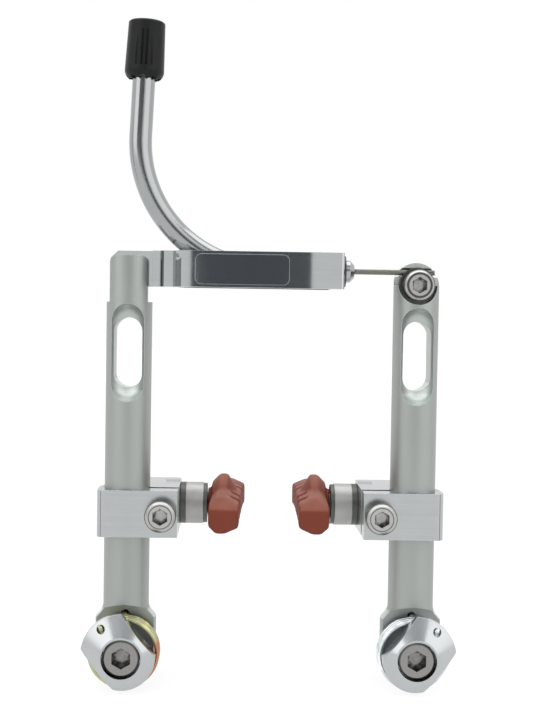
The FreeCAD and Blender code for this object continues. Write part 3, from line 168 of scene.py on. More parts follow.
class BrakeFinishes(bpy.types.PropertyGroup):
    """Colours and surface sizes of the brake."""

    arm: colour_property("Arms", "Bead-blasted, clear anodised alloy", (0.36, 0.385, 0.37))
    polished: colour_property("Polished alloy", "Link, clamps and adjusters", (0.45, 0.47, 0.475))
    panel: colour_property("Panel", "Sunk panel on the link", (0.36, 0.38, 0.4))
    steel: colour_property("Bright steel", "Nuts, tube and tip", (0.46, 0.48, 0.48))
    screw: colour_property("Small screws", "Heads of the small screws", (0.46, 0.46, 0.45))
    bolt: colour_property("Mounting bolts", "Turned heads over the pivots", (0.285, 0.28, 0.272))
    dark_steel: colour_property("Dark steel", "Cup washers and clip", (0.12, 0.12, 0.115))
    spacer: colour_property("Spacers", "Satin turned spacers", (0.43, 0.43, 0.42))
    pad: colour_property("Pads", "Brick-red rubber", (0.2, 0.043, 0.024))
    dust: colour_property("Dust", "Dust on top of the pads", (0.56, 0.27, 0.21))
    boot: colour_property("Boot", "Black rubber", (0.009, 0.0095, 0.0095))
    spring_yellow: colour_property("Left spring", "Yellow plating", (0.5, 0.48, 0.25))
    spring_green: colour_property("Left spring, green", "Green sheen", (0.4, 0.47, 0.33))
    spring_copper: colour_property("Left spring, copper", "Copper sheen", (0.5, 0.19, 0.1))
    spring_white: colour_property("Right spring", "Bright zinc plating", (0.74, 0.78, 0.81))
    wire: colour_property("Wire", "Drawn steel strands", (0.245, 0.24, 0.222))
    edge: length_property(
        "Edge radius", "Rounding that catches the light along machined edges", 0.22 * MM
    )
    grain: length_property("Blast grain", "Size of the bead-blasted grain", 0.14 * MM, 0.01 * MM)


class BrakeWire(bpy.types.PropertyGroup):
    """Sizes of the stranded wire."""

    strands: IntProperty(
        name="Strands", description="Outer strands of the wire", default=12, min=3
    )
    lay: length_property("Lay", "Length in which a strand goes once round", 9.0 * MM, 1.0 * MM)


class BrakePads(bpy.types.PropertyGroup):
    """How softly the pads are moulded."""

    cell: length_property(
        "Cell", "Width of the cells that the pad's surface is made of", 0.3 * MM, 0.1 * MM
    )
    passes: IntProperty(
        name="Passes", description="How often the edges are smoothed", default=30, min=0
    )


class BrakeStage(bpy.types.PropertyGroup):
    """Camera, light and floor."""

    camera_place: FloatVectorProperty(
        name="Camera place",
        description="Where the camera stands",
        subtype="TRANSLATION",
        size=3,
        default=(-10.3 * MM, -353.8 * MM, 93.6 * MM),
    )
    yaw: angle_property("Yaw", "Turn to the left of +Y", -1.44)
    pitch: angle_property("Pitch", "Tilt downward", 1.96)
    roll: angle_property("Roll", "Turn about the view", 0.89)
    lens: FloatProperty(
        name="Lens", description="Focal length for a 36 mm frame", default=62.3, min=10.0
    )
    paper: colour_property("Paper", "Floor near the brake", (0.93, 0.93, 0.93))
    card: colour_property("Cards", "Cloth of the cards round the camera", (0.15, 0.16, 0.172))
    fill: FloatProperty(
        name="Fill", description="Light from all round on dull surfaces", default=0.42, min=0.0
    )
    glow: FloatProperty(
        name="Glow", description="Brightness of the plain paper", default=1.1, min=0.0
    )


class Number:
    """A number that varies over a surface; sums and products of it become Math nodes."""

    def __init__(self, nodes, socket):
        self.nodes = nodes
        self.socket = socket

    def maths(self, operation, *values):
        node = self.nodes.node(
            "ShaderNodeMath", {"operation": operation}, dict(enumerate(values))
        )
        return Number(self.nodes, node.outputs[0])

    def __add__(self, other):
        return self.maths("ADD", self, other)

    def __sub__(self, other):
        return self.maths("SUBTRACT", self, other)

    def __mul__(self, other):
        return self.maths("MULTIPLY", self, other)

    def __radd__(self, other):
        return self.maths("ADD", other, self)

    def __rsub__(self, other):
        return self.maths("SUBTRACT", other, self)

    def __rmul__(self, other):
        return self.maths("MULTIPLY", other, self)

    def __abs__(self):
        return self.maths("ABSOLUTE", self)

    def sine(self):
        return self.maths("SINE", self)

    def root(self):
        return self.maths("SQRT", self)

    def at_least(self, other):
        """The larger of two numbers."""
        return self.maths("MAXIMUM", self, other)

    def step(self, low, high):
        """0 below low, 1 above high, smooth between; the other way round if low is higher."""
        node = self.nodes.node(
            "ShaderNodeMapRange",
            {"interpolation_type": "SMOOTHSTEP"},
            {"Value": self, "From Min": low, "From Max": high},
        )
        return Number(self.nodes, node.outputs["Result"])

    def stripe(self, centre, width, soft):
        """1 in a stripe of a width about a centre, with soft sides."""
        low, high = centre - width / 2, centre + width / 2
        return self.step(low - soft, low + soft) * self.step(high + soft, high - soft)


class Nodes:
    """The nodes of a material or of the world."""

    def __init__(self, owner):
        owner.use_nodes = True
        self.tree = owner.node_tree

    def node(self, kind, settings=None, values=None):
        """Add a node with its settings, then the values or links of its sockets."""
        item = self.tree.nodes.new(kind)
        for name, value in (settings or {}).items():
            if name == "stops":
                self.fill_ramp(item.color_ramp, value)
            else:
                setattr(item, name, value)
        for socket, value in (values or {}).items():
            self.feed(item.inputs[socket], value)
        return item

    def feed(self, socket, value):
        """Link a socket to what varies, or set it to a value."""
        if isinstance(value, Number):
            value = value.socket
        if isinstance(value, bpy.types.NodeSocket):
            self.tree.links.new(value, socket)
            return
        if socket.type == "RGBA" and len(value) == 3:
            value = (*value, 1.0)
        socket.default_value = value

    @staticmethod
    def fill_ramp(ramp, stops):
        while len(ramp.elements) < len(stops):
            ramp.elements.new(0.5)
        for element, (position, colour) in zip(ramp.elements, stops):
            element.position = position
            element.color = (*colour, 1.0)

    def bright_rays(self):
        """1 for rays from the camera, and for those seen in metal or through glass."""
        path = self.node("ShaderNodeLightPath")
        seen = Number(self, path.outputs["Is Camera Ray"])
        for name in ("Is Glossy Ray", "Is Transmission Ray"):
            seen = seen.at_least(Number(self, path.outputs[name]))
        return seen


class Finish(Nodes):
    """A material with one main shader, whose varying inputs come from nodes."""

    def __init__(self, name, **constants):
        self.material = bpy.data.materials.new(name)
        super().__init__(self.material)
        self.shader = self.tree.nodes["Principled BSDF"]
        for socket, value in constants.items():
            self.shader.inputs[socket.replace("_", " ")].default_value = value
        self.object_place = self.node("ShaderNodeTexCoord").outputs["Object"]
        parts = self.node("ShaderNodeSeparateXYZ", {}, {0: self.object_place})
        self.x, self.y, self.z = (Number(self, socket) for socket in parts.outputs)
        self.tone = None
        self.rough = None
        self.normal = None

    def noise(self, size, stretch=(1.0, 1.0, 1.0), detail=2.0, where=None):
        """Noise whose grains are about `size` metres, longer along an axis by `stretch`."""
        scale = tuple(1.0 / (size * share) for share in stretch)
        mapping = self.node(
            "ShaderNodeMapping", {}, {"Vector": where or self.object_place, "Scale": scale}
        )
        place = mapping.outputs[0]
        noise = self.node(
            "ShaderNodeTexNoise", {}, {"Vector": place, "Scale": 1.0, "Detail": detail}
        )
        return Number(self, noise.outputs[0])

    def line(self, distance):
        """A place that varies along one number only, for noise in rings or stripes."""
        return self.node("ShaderNodeCombineXYZ", {}, {0: distance}).outputs[0]

    def rings(self, centre):
        """Distance from the axes that run along Y through (+x, z) and (-x, z) of a place."""
        across = abs(self.x) - abs(centre.x)
        up = self.z - centre.z
        return (across * across + up * up).root()

    def upward(self):
        """How far a face points up: -1 to 1."""
        way = self.node("ShaderNodeTexCoord").outputs["Normal"]
        parts = self.node("ShaderNodeSeparateXYZ", {}, {0: way})
        return Number(self, parts.outputs[2])

    def mix(self, factor, first, second):
        """Blend two colours."""
        node = self.node(
            "ShaderNodeMix", {"data_type": "RGBA"}, {0: factor, 6: first, 7: second}
        )
        return node.outputs[2]

    def ramp(self, factor, stops):
        return self.node("ShaderNodeValToRGB", {"stops": stops}, {0: factor}).outputs[0]

    def colour(self, value):
        self.tone = value
        self.feed(self.shader.inputs["Base Color"], value)

    def vary(self, factor, colour, darker, lighter):
        """Colour that goes from a darker to a lighter share of itself."""
        self.colour(self.mix(factor, shade(colour, darker), shade(colour, lighter)))

    def overlay(self, mask, colour):
        """Lay a colour over the present one where a mask is 1."""
        self.colour(self.mix(mask, self.tone, colour))

    def roughness(self, value):
        self.rough = value
        self.feed(self.shader.inputs["Roughness"], value)

    def soften_edges(self, radius):
        """Round the shading along the edges."""
        self.normal = self.node(
            "ShaderNodeBevel", {"samples": 6}, {"Radius": radius}
        ).outputs[0]
        self.feed(self.shader.inputs["Normal"], self.normal)

    def edges(self):
        """1 on the rounded edges and 0 on the faces."""
        face = self.node("ShaderNodeNewGeometry").outputs["Normal"]
        dot = self.node(
            "ShaderNodeVectorMath", {"operation": "DOT_PRODUCT"}, {0: self.normal, 1: face}
        )
        return Number(self, dot.outputs["Value"]).step(0.995, 0.9)

    def relief(self, height, depth):
        """Raise the surface by a height of 0 to 1 times `depth` metres."""
        values = {"Height": height, "Distance": depth, "Strength": 1.0}
        if self.normal is not None:
            values["Normal"] = self.normal
        self.normal = self.node("ShaderNodeBump", {}, values).outputs[0]
        self.feed(self.shader.inputs["Normal"], self.normal)

    def show_mixed(self, share, first, second):
        """Show a second shader by a share, and the first for the rest."""
        shaders = {0: share, 1: first.outputs[0], 2: second.outputs[0]}
        mixed = self.node("ShaderNodeMixShader", {}, shaders).outputs[0]
        self.feed(self.tree.nodes["Material Output"].inputs[0], mixed)


def finishes():
    """The colours and sizes that are set in the sidebar."""
    return bpy.context.scene.brake_finishes


def shade(colour, share):
    """A colour made darker or lighter by a share."""
    return tuple(min(1.0, channel * share) for channel in colour)


def give(finish, *names):
    """Put a finish on CAD nodes."""
    for name in names:
        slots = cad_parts[name].data.materials
        slots.clear()
        slots.append(finish.material)


def both(*names):
    """The left and right nodes of some pairs."""
    return [f"{side}_{name}" for side in SIDES for name in names]


def merged_copy(context, node, name, finish):
    """A copy of a CAD node to be shaped further, with its triangles joined up."""
    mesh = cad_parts[node].data.copy()
    mesh.name = name
    mesh.materials.clear()
    mesh.materials.append(finish.material)
    piece = bpy.data.objects.new(name, mesh)
    context.scene.collection.objects.link(piece)
    bpy.ops.object.select_all(action="DESELECT")
    piece.select_set(True)
    context.view_layer.objects.active = piece
    bpy.ops.object.mode_set(mode="EDIT")
    bpy.ops.mesh.select_all(action="SELECT")
    bpy.ops.mesh.remove_doubles(threshold=MERGE_DISTANCE)
    bpy.ops.mesh.normals_make_consistent(inside=False)
    bpy.ops.object.mode_set(mode="OBJECT")
    return piece


def blasted_alloy():
    """The arms' blasted alloy, with painted highlights on the edges and painted light on the top
    faces and on the window's milled walls.
    """
    finish = Finish("blasted_alloy", Metallic=0.92)
    own = finishes()
    finish.soften_edges(own.edge)
    cloud = finish.noise(9 * MM, (1.0, 1.0, 2.5))
    grain = finish.noise(own.grain, detail=3.0)
    finish.vary(cloud, own.arm, 0.94, 1.06)
    # The milled walls lie inside the arm's round outside
    across = abs(finish.x) - PIVOT.x
    deep = finish.y - ARM_AXIS_Y
    from_axis = (across * across + deep * deep).root()
    inside = from_axis.step(ARM_RADIUS - 0.25 * MM, ARM_RADIUS - 0.55 * MM)
    milled = inside * finish.z.step(WINDOW_FOOT, WINDOW_FOOT + 1.0 * MM)
    # Painted light: highlights on the edges, light from above on upward faces, and lighter milled
    # walls where the window's shade falls
    painted_light = finish.edges() * 0.35 + finish.upward().step(0.25, 0.6) + milled * 0.35
    finish.overlay(painted_light, shade(own.arm, 2.0))
    finish.roughness(0.34 + grain * 0.1 + cloud * 0.06)
    finish.relief(grain, 0.006 * MM)
    return finish


def polished_alloy(name, stretch, rough, edge_share=1.0):
    """Polished alloy with fine milling marks, longest where `stretch` is large."""
    finish = Finish(name, Metallic=1.0)
    own = finishes()
    finish.soften_edges(own.edge * edge_share)
    marks = finish.noise(0.12 * MM, stretch, detail=3.0)
    bands = finish.noise(0.7 * MM, stretch, detail=2.0)
    cloud = finish.noise(6 * MM)
    finish.vary(cloud * 0.5 + bands * 0.5, own.polished, 0.9, 1.1)
    finish.roughness(rough * (0.7 + marks * 0.6) + cloud * 0.015)
    finish.relief(marks, rough * 0.006 * MM)
    return finish


def clamp_alloy():
    """The clamps' brushed polish, with painted highlights along the edges and a painted dark line
    on the band round the arm, where its face rounds off.
    """
    finish = polished_alloy("clamp_alloy", (60.0, 60.0, 1.0), 0.22)
    own = finishes()
    # Painted highlights along the edges
    finish.overlay(finish.edges() * 0.8, shade(own.polished, 1.6))
    # A painted dark line where the face rounds off
    shade_line = abs(finish.x).stripe(CLAMP_REACH - CLAMP_SHADE_LINE, 0.22 * MM, 0.05 * MM)
    finish.overlay(shade_line * 0.6, shade(own.polished, 0.1))
    return finish


def link_alloy():
    """The link's polish, with painted shade in a groove, and the sunk panel, which is darker and
    duller.
    """
    finish = polished_alloy("link_alloy", (40.0, 40.0, 1.0), 0.02, 0.5)
    own = finishes()
    # Painted shade in the groove
    groove_shade = finish.x.stripe(LINK_START + GROOVE_PLACE, 0.8 * MM, 0.08 * MM)
    finish.overlay(groove_shade * 0.85, shade(own.polished, 0.1))
    panel = finish.y.stripe(front_of("noodle_link") + PANEL_DEPTH, 0.2 * MM, 0.06 * MM)
    start = LINK_START + PANEL_START
    panel = panel * finish.x.step(start, start + 0.2 * MM)
    finish.overlay(panel, own.panel)
    finish.roughness(finish.rough + panel * 0.03)
    return finish


def turned_alloy():
    """Polished plate with rings left by the lathe about the pivot."""
    finish = Finish("turned_alloy", Metallic=1.0)
    own = finishes()
    finish.soften_edges(own.edge)
    rings = finish.noise(0.16 * MM, detail=2.0, where=finish.line(finish.rings(PIVOT)))
    cloud = finish.noise(5 * MM)
    finish.vary(cloud, own.polished, 1.02, 1.13)
    finish.roughness(0.16 + rings * 0.1)
    finish.relief(rings, 0.0025 * MM)
    return finish


def bolt_steel(name, node, colour, socket, shaded_rings=()):
    """Turned steel with rings, painted shade in rings round the head and in the hexagon socket,
    and painted light on the socket's bottom.
    """
    finish = Finish(name, Metallic=1.0)
    finish.soften_edges(finishes().edge * 0.8)
    distance = finish.rings(middle(node))
    rings = finish.noise(0.12 * MM, detail=2.0, where=finish.line(distance))
    speck = finish.noise(0.5 * MM, detail=3.0)
    facets = finish.noise(1.1 * MM, detail=1.0).step(0.4, 0.6)
    front = front_of(node)
    reach, depth = socket
    sunk = finish.y.step(front + 0.25 * MM, front + 0.9 * MM)
    inside = distance.step(reach, reach - 0.2 * MM) * sunk
    bottom = finish.y.step(front + depth - 0.4 * MM, front + depth - 0.1 * MM)
    disc = bottom * distance.step(reach * 0.6, reach * 0.45)
    # Painted shade in the socket, lifted by painted light on its bottom, and painted shade in the
    # rings round the head
    dark = inside * (0.95 - facets * 0.5) * (1 - disc * 0.7)
    for radius in shaded_rings:
        dark = dark + distance.stripe(radius, 0.28 * MM, 0.06 * MM) * 0.85
    finish.vary(speck, colour, 0.88, 1.12)
    finish.overlay(dark, shade(colour, 0.16))
    finish.roughness(0.2 + rings * 0.12 + speck * 0.05)
    finish.relief(rings, 0.003 * MM)
    return finish


def plain_steel(name, colour, rough, grain_size=0.3 * MM, depth=0.002 * MM):
    """Steel with a fine grain, in tones about one colour."""
    finish = Finish(name, Metallic=1.0)
    finish.soften_edges(finishes().edge * 0.7)
    grain = finish.noise(grain_size, detail=3.0)
    cloud = finish.noise(3 * MM)
    finish.vary(cloud, colour, 0.88, 1.12)
    finish.roughness(rough + grain * 0.12)
    finish.relief(grain, depth)
    return finish


def tube_steel():
    """Smooth drawn tube, slightly clouded."""
    finish = Finish("tube_steel", Metallic=1.0)
    cloud = finish.noise(7 * MM)
    haze = finish.noise(2 * MM, detail=1.0)
    finish.vary(cloud, finishes().steel, 0.74, 0.83)
    finish.roughness(0.15 + haze * 0.03 + cloud * 0.03)
    return finish


def threaded_steel():
    """The pad's stud, whose thread runs round an axis along X."""
    finish = Finish("threaded_steel", Metallic=1.0)
    pitch = 1.0 * MM
    turn = (finish.x * (2 * math.pi / pitch)).sine()
    speck = finish.noise(0.4 * MM)
    finish.vary(speck, finishes().steel, 0.75, 1.0)
    finish.roughness(0.25 + speck * 0.1)
    finish.relief(turn * 0.5 + 0.5, 0.25 * MM)
    return finish


def spring_finish(name, stops, rough):
    """Plated spring wire; colours follow one another along and across the coil."""
    finish = Finish(name, Metallic=1.0)
    sheen = finish.noise(2.2 * MM, detail=1.0)
    speck = finish.noise(0.25 * MM)
    finish.colour(finish.ramp(sheen, stops))
    finish.roughness(rough + speck * 0.1)
    finish.relief(speck, 0.004 * MM)
    return finish


def yellow_plating():
    """The left spring's plating, yellow with green and copper sheens."""
    own = finishes()
    yellow = own.spring_yellow
    stops = ((0.34, own.spring_green), (0.5, yellow), (0.68, shade(yellow, 1.3)))
    finish = spring_finish("yellow_plating", stops, 0.2)
    # The coil is coppery low down on the side towards the pads
    inward = (finish.x + PIVOT.x).step(4.0 * MM, 7.5 * MM)
    copper = inward * finish.z.step(5.0 * MM, 2.0 * MM)
    finish.overlay(copper * 0.85, own.spring_copper)
    return finish


def white_plating():
    """The right spring's bright plating."""
    white = finishes().spring_white
    stops = ((0.35, shade(white, 0.85)), (0.5, white), (0.65, shade(white, 1.2)))
    return spring_finish("white_plating", stops, 0.16)


def pad_rubber():
    """Brick-red rubber, dusty on top, with a fine moulded grain."""
    finish = Finish("pad_rubber", Specular_IOR_Level=0.22)
    own = finishes()
    finish.soften_edges(own.edge * 2.2)
    cloud = finish.noise(5 * MM, detail=3.0)
    grain = finish.noise(0.18 * MM, detail=2.0)
    finish.vary(cloud, own.pad, 0.86, 1.14)
    finish.overlay(finish.upward().step(0.2, 0.95) * (0.15 + cloud * 0.3), own.dust)
    finish.roughness(0.52 + cloud * 0.16)
    finish.relief(grain, 0.02 * MM)
    return finish


def boot_rubber():
    """Black rubber with a soft gloss."""
    finish = Finish("boot_rubber", Specular_IOR_Level=0.18)
    own = finishes()
    finish.soften_edges(own.edge * 2.0)
    cloud = finish.noise(3 * MM, detail=3.0)
    grain = finish.noise(0.22 * MM, detail=2.0)
    finish.vary(cloud, own.boot, 0.8, 1.5)
    finish.roughness(0.3 + cloud * 0.15)
    finish.relief(grain, 0.012 * MM)
    return finish


def wire_strand_steel():
    """Drawn strands, a little dirty along their length."""
    finish = Finish("wire_strand_steel", Metallic=0.9)
    speck = finish.noise(0.35 * MM, (3.0, 1.0, 1.0), detail=3.0)
    finish.vary(speck, finishes().wire, 0.7, 1.35)
    finish.roughness(0.3 + speck * 0.15)
    finish.relief(speck, 0.006 * MM)
    return finish


class BRAKE_OT_arms(bpy.types.Operator):
    """Finish both arms"""

    bl_idname = "brake.arms"
    bl_label = "Arms"

    def execute(self, context):
        give(blasted_alloy(), *both("arm"))
        return {"FINISHED"}


class BRAKE_OT_link(bpy.types.Operator):
    """Finish the link, its pivot bolt and its washer"""

    bl_idname = "brake.link"
    bl_label = "Link"

    def execute(self, context):
        own = context.scene.brake_finishes
        give(link_alloy(), "noodle_link")
        give(plain_steel("link_bolt_steel", own.steel, 0.18), "link_pivot_bolt")
        give(plain_steel("link_washer_steel", own.spacer, 0.28), "link_thrust_washer")
        return {"FINISHED"}


class BRAKE_OT_pivots(bpy.types.Operator):
    """Finish the bushings, mounting bolts and adjusters, and put plated copies of the return
    springs in their place
    """

    bl_idname = "brake.pivots"
    bl_label = "Pivots"

    @staticmethod
    def wind(context, side, plating):
        """A merged copy of a spring, shaded smooth and plated, in place of the plain one."""
        node = f"{side}_return_spring"
        spring = merged_copy(context, node, f"{side}_twisting_spring", plating)
        bpy.ops.object.shade_smooth_by_angle(angle=SMOOTH_ANGLE)
        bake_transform(spring)
        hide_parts(node)

    def execute(self, context):
        own = context.scene.brake_finishes
        give(turned_alloy(), *both("tension_adjuster"))
        bolt = bolt_steel("mount_bolt_steel", "right_mount_bolt", own.bolt, MOUNT_SOCKET)
        give(bolt, *both("mount_bolt"))
        give(plain_steel("bushing_steel", own.spacer, 0.25), *both("pivot_bushing"))
        self.wind(context, "left", yellow_plating())
        self.wind(context, "right", white_plating())
        return {"FINISHED"}


class BRAKE_OT_clamps(bpy.types.Operator):
    """Finish the pad clamps and their bolts"""

    bl_idname = "brake.clamps"
    bl_label = "Clamps"

    def execute(self, context):
        colour = context.scene.brake_finishes.screw
        give(clamp_alloy(), *both("pad_clamp"))
        bolt = bolt_steel(
            "clamp_bolt_steel", "right_clamp_bolt", colour, SMALL_SOCKET, CLAMP_BOLT_SHADED_RINGS
        )
        give(bolt, *both("clamp_bolt"))
        return {"FINISHED"}


class BRAKE_OT_pads(bpy.types.Operator):
    """Mould the pads, and finish their studs, washers, spacers and nuts"""

    bl_idname = "brake.pads"
    bl_label = "Pads"

    @staticmethod
    def mould(context, side, rubber):
        """A copy of a pad with the soft edges of moulded rubber, in place of the plain one."""
        sizes = context.scene.brake_pads
        pad = merged_copy(context, f"{side}_brake_pad", f"{side}_moulded_pad", rubber)
        bpy.ops.object.modifier_add(type="REMESH")
        remesh = pad.modifiers[-1]
        remesh.mode = "VOXEL"
        remesh.voxel_size = sizes.cell
        bpy.ops.object.modifier_apply(modifier=remesh.name)
        bpy.ops.object.modifier_add(type="SMOOTH")
        smooth = pad.modifiers[-1]
        smooth.factor = 0.5
        smooth.iterations = sizes.passes
        bpy.ops.object.modifier_apply(modifier=smooth.name)
        bpy.ops.object.shade_smooth()
        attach(pad, f"{side}_pad")
        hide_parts(f"{side}_brake_pad")

    def execute(self, context):
        own = context.scene.brake_finishes
        rubber = pad_rubber()
        for side in SIDES:
            self.mould(context, side, rubber)
        dark = plain_steel("washer_dark_steel", own.dark_steel, 0.34, 0.4 * MM, 0.006 * MM)
        give(dark, *both("inner_cup_washer", "outer_cup_washer", "thin_washer"))
        satin = plain_steel("spacer_steel", own.spacer, 0.42)
        give(satin, *both("pad_spacer", "outer_dome_washer"))
        give(plain_steel("nut_steel", own.steel, 0.2), *both("pad_nut"))
        give(threaded_steel(), *both("pad_stud"))
        return {"FINISHED"}


class BRAKE_OT_noodle(bpy.types.Operator):
    """Finish the guide tube, its tip, clip and boot"""

    bl_idname = "brake.noodle"
    bl_label = "Guide tube"

    def execute(self, context):
        own = context.scene.brake_finishes
        give(tube_steel(), "noodle_tube")
        give(plain_steel("tip_steel", shade(own.steel, 0.9), 0.14), "noodle_tip")
        give(plain_steel("clip_steel", shade(own.dark_steel, 0.7), 0.3), "noodle_clip")
        give(boot_rubber(), "noodle_boot")
        return {"FINISHED"}


class BRAKE_OT_wire(bpy.types.Operator):
    """Lay the strands of the wire, and finish its anchor bolt and washer"""

    bl_idname = "brake.wire"
    bl_label = "Wire and anchor"

    @staticmethod
    def lay_strands(context):
        """One strand, extruded round the wire's middle, and then spun into all of them."""
        sizes = context.scene.brake_wire
        low, high = (Vector(corner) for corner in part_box("brake_wire"))
        axis = (low + high) / 2
        wire_radius = (high.z - low.z) / 2
        # Neighbouring strands touch, and the outermost points are at the wire's radius
        share = math.sin(math.pi / sizes.strands)
        strand = wire_radius * share / (1 + share)
        ring = wire_radius - strand
        reach = high.x - low.x
        bpy.ops.object.select_all(action="DESELECT")
        bpy.ops.mesh.primitive_circle_add(
            vertices=STRAND_SIDES,
            radius=strand,
            location=(low.x, axis.y, axis.z + ring),
            rotation=(0, math.radians(90), 0),
        )
        wire = context.active_object
        wire.name = "wire_strands"
        wire.data.name = "wire_strands"
        bpy.ops.object.transform_apply(location=True, rotation=True, scale=True)
        turns = reach / sizes.lay
        bpy.ops.object.mode_set(mode="EDIT")
        bpy.ops.mesh.select_all(action="SELECT")
        steps = math.ceil(turns * STRAND_STEPS)
        for _ in range(steps):
            bpy.ops.mesh.extrude_region_move(
                TRANSFORM_OT_translate={"value": (reach / steps, 0, 0)}
            )
            bpy.ops.transform.rotate(
                value=-2 * math.pi * turns / steps,
                orient_axis="X",
                center_override=(0, axis.y, axis.z),
            )
        bpy.ops.mesh.select_all(action="SELECT")
        bpy.ops.mesh.fill_holes(sides=STRAND_SIDES)
        bpy.ops.mesh.select_all(action="SELECT")
        bpy.ops.mesh.spin(
            steps=sizes.strands,
            dupli=True,
            angle=2 * math.pi,
            center=(0, axis.y, axis.z),
            axis=(1, 0, 0),
        )
        bpy.ops.mesh.select_all(action="SELECT")
        bpy.ops.mesh.remove_doubles(threshold=MERGE_DISTANCE)
        bpy.ops.mesh.normals_make_consistent(inside=False)
        bpy.ops.object.mode_set(mode="OBJECT")
        bpy.ops.object.shade_smooth_by_angle(angle=SMOOTH_ANGLE)
        wire.data.materials.append(wire_strand_steel().material)
        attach(wire, "wire")
        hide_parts("brake_wire")

    def execute(self, context):
        own = context.scene.brake_finishes
        self.lay_strands(context)
        bolt = bolt_steel(
            "anchor_bolt_steel", "anchor_bolt", own.screw, SMALL_SOCKET, ANCHOR_BOLT_SHADED_RINGS
        )
        give(bolt, "anchor_bolt")
        give(plain_steel("anchor_washer_steel", shade(own.dark_steel, 0.8), 0.25), "anchor_washer")
        return {"FINISHED"}


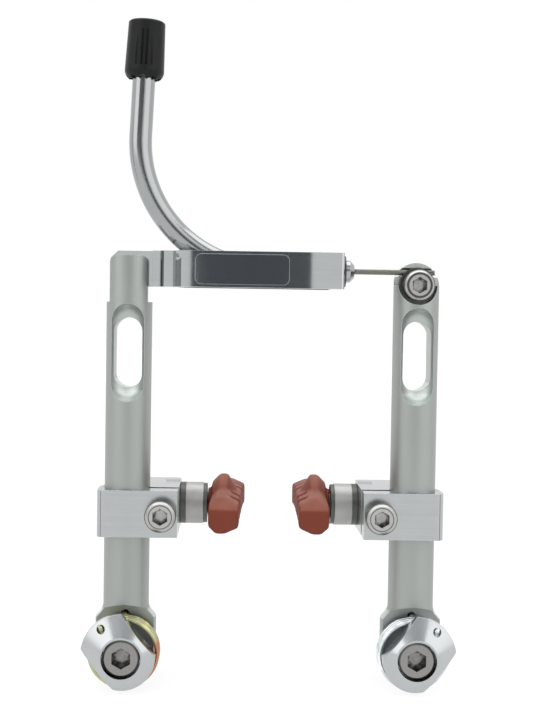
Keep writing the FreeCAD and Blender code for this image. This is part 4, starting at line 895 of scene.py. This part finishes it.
class BRAKE_OT_stage(bpy.types.Operator):
    """Set up the light, floor, cards and camera"""

    bl_idname = "brake.stage"
    bl_label = "Stage"

    def execute(self, context):
        stage = context.scene.brake_stage
        self.light_world(context, stage)
        self.lay_floor(context, stage)
        self.hang_lamps(context)
        self.hang_cards(context, stage)
        self.place_camera(context, stage)
        context.scene.view_settings.view_transform = "Standard"
        return {"FINISHED"}

    @staticmethod
    def light_world(context, stage):
        """A white room that is dimmer for what lights dull surfaces."""
        world = bpy.data.worlds.new("studio")
        context.scene.world = world
        nodes = Nodes(world)
        background = nodes.tree.nodes["Background"]
        nodes.feed(background.inputs["Color"], (1.0, 1.0, 1.0))
        strength = stage.fill + nodes.bright_rays() * (1.0 - stage.fill)
        nodes.feed(background.inputs["Strength"], strength)

    @staticmethod
    def lay_floor(context, stage):
        """Paper that shows the shadow near the object, and only glows far from it."""
        bpy.ops.object.select_all(action="DESELECT")
        bpy.ops.mesh.primitive_plane_add(
            size=FLOOR_WIDTH, location=(0, 0, CAD_BOX[0].z - FLOOR_GAP)
        )
        floor = context.active_object
        floor.name = "floor"
        paper = Finish("paper", Roughness=0.9)
        paper.colour(stage.paper)
        glow = paper.node(
            "ShaderNodeEmission", {}, {"Color": (1.0, 1.0, 1.0), "Strength": stage.glow}
        )
        distance = (paper.x * paper.x + paper.y * paper.y).root()
        far = distance.step(*SHADOW_REACH)
        share = paper.bright_rays() * (NEAR_GLOW + far * (1.0 - NEAR_GLOW))
        paper.show_mixed(share, paper.shader, glow)
        floor.data.materials.append(paper.material)

    @staticmethod
    def hang_lamps(context):
        for name, (place, size, power) in LAMPS.items():
            data = bpy.data.lights.new(name, "AREA")
            data.size = size
            data.energy = power
            lamp = bpy.data.objects.new(name, data)
            lamp.location = place
            aim = LAMP_AIM - lamp.location
            lamp.rotation_euler = aim.to_track_quat("-Z", "Y").to_euler()
            context.scene.collection.objects.link(lamp)

    @staticmethod
    def card_cloth(name, density, colour):
        """Dark cloth that fades out at the card's edges; a thin one lets light through."""
        cloth = Finish(name, Roughness=0.9)
        cloth.colour(colour)
        clear = cloth.node("ShaderNodeBsdfTransparent")
        cover = abs(cloth.x).step(*CLOTH_EDGE) * abs(cloth.y).step(*CLOTH_EDGE)
        cloth.show_mixed(cover * density, clear, cloth.shader)
        return cloth

    def hang_cards(self, context, stage):
        """Cards round the camera, seen only in the metal."""
        cloths = {
            name: self.card_cloth(name, density, stage.card) for name, density in CLOTHS.items()
        }
        for name, (centre, size, turn, cloth) in CARDS.items():
            bpy.ops.object.select_all(action="DESELECT")
            bpy.ops.mesh.primitive_plane_add(
                size=1.0, location=centre, rotation=[math.radians(angle) for angle in turn]
            )
            card = context.active_object
            card.name = name
            card.scale = (*size, 1.0)
            card.data.materials.append(cloths[cloth].material)
            card.visible_camera = False
            card.visible_diffuse = False
            card.visible_shadow = False

    @staticmethod
    def place_camera(context, stage):
        data = bpy.data.cameras.new("camera")
        data.sensor_width = 36.0
        data.lens = stage.lens
        data.clip_start = 0.01
        camera = bpy.data.objects.new("camera", data)
        ahead = Vector(
            (
                -math.sin(stage.yaw) * math.cos(stage.pitch),
                math.cos(stage.yaw) * math.cos(stage.pitch),
                -math.sin(stage.pitch),
            )
        )
        turn = ahead.to_track_quat("-Z", "Y")
        camera.rotation_mode = "QUATERNION"
        camera.rotation_quaternion = turn @ Quaternion((0, 0, 1), stage.roll)
        camera.location = stage.camera_place
        context.scene.collection.objects.link(camera)
        context.scene.camera = camera


class BRAKE_PT_panel(bpy.types.Panel):
    """Pieces and stage of the brake"""

    bl_idname = "BRAKE_PT_panel"
    bl_label = "Brake"
    bl_space_type = "VIEW_3D"
    bl_region_type = "UI"
    bl_category = "Brake"

    def draw(self, context):
        layout = self.layout
        for operator in OPERATORS:
            layout.operator(operator.bl_idname)
        for group in GROUPS:
            box = layout.box()
            own = getattr(context.scene, group)
            for name in own.__annotations__:
                box.prop(own, name)


GROUPS = {
    "brake_finishes": BrakeFinishes,
    "brake_pads": BrakePads,
    "brake_wire": BrakeWire,
    "brake_stage": BrakeStage,
}
OPERATORS = (
    BRAKE_OT_arms,
    BRAKE_OT_link,
    BRAKE_OT_pivots,
    BRAKE_OT_clamps,
    BRAKE_OT_pads,
    BRAKE_OT_noodle,
    BRAKE_OT_wire,
    BRAKE_OT_stage,
)


def register():
    for name, group in GROUPS.items():
        bpy.utils.register_class(group)
        setattr(bpy.types.Scene, name, PointerProperty(type=group))
    for item in (*OPERATORS, BRAKE_PT_panel):
        bpy.utils.register_class(item)


def unregister():
    for item in (BRAKE_PT_panel, *reversed(OPERATORS)):
        bpy.utils.unregister_class(item)
    for name, group in GROUPS.items():
        delattr(bpy.types.Scene, name)
        bpy.utils.unregister_class(group)


def main():
    register()
    bpy.ops.brake.arms()
    bpy.ops.brake.link()
    bpy.ops.brake.pivots()
    bpy.ops.brake.clamps()
    bpy.ops.brake.pads()
    bpy.ops.brake.noodle()
    bpy.ops.brake.wire()
    bpy.ops.brake.stage()


if __name__ == "__main__":
    main()
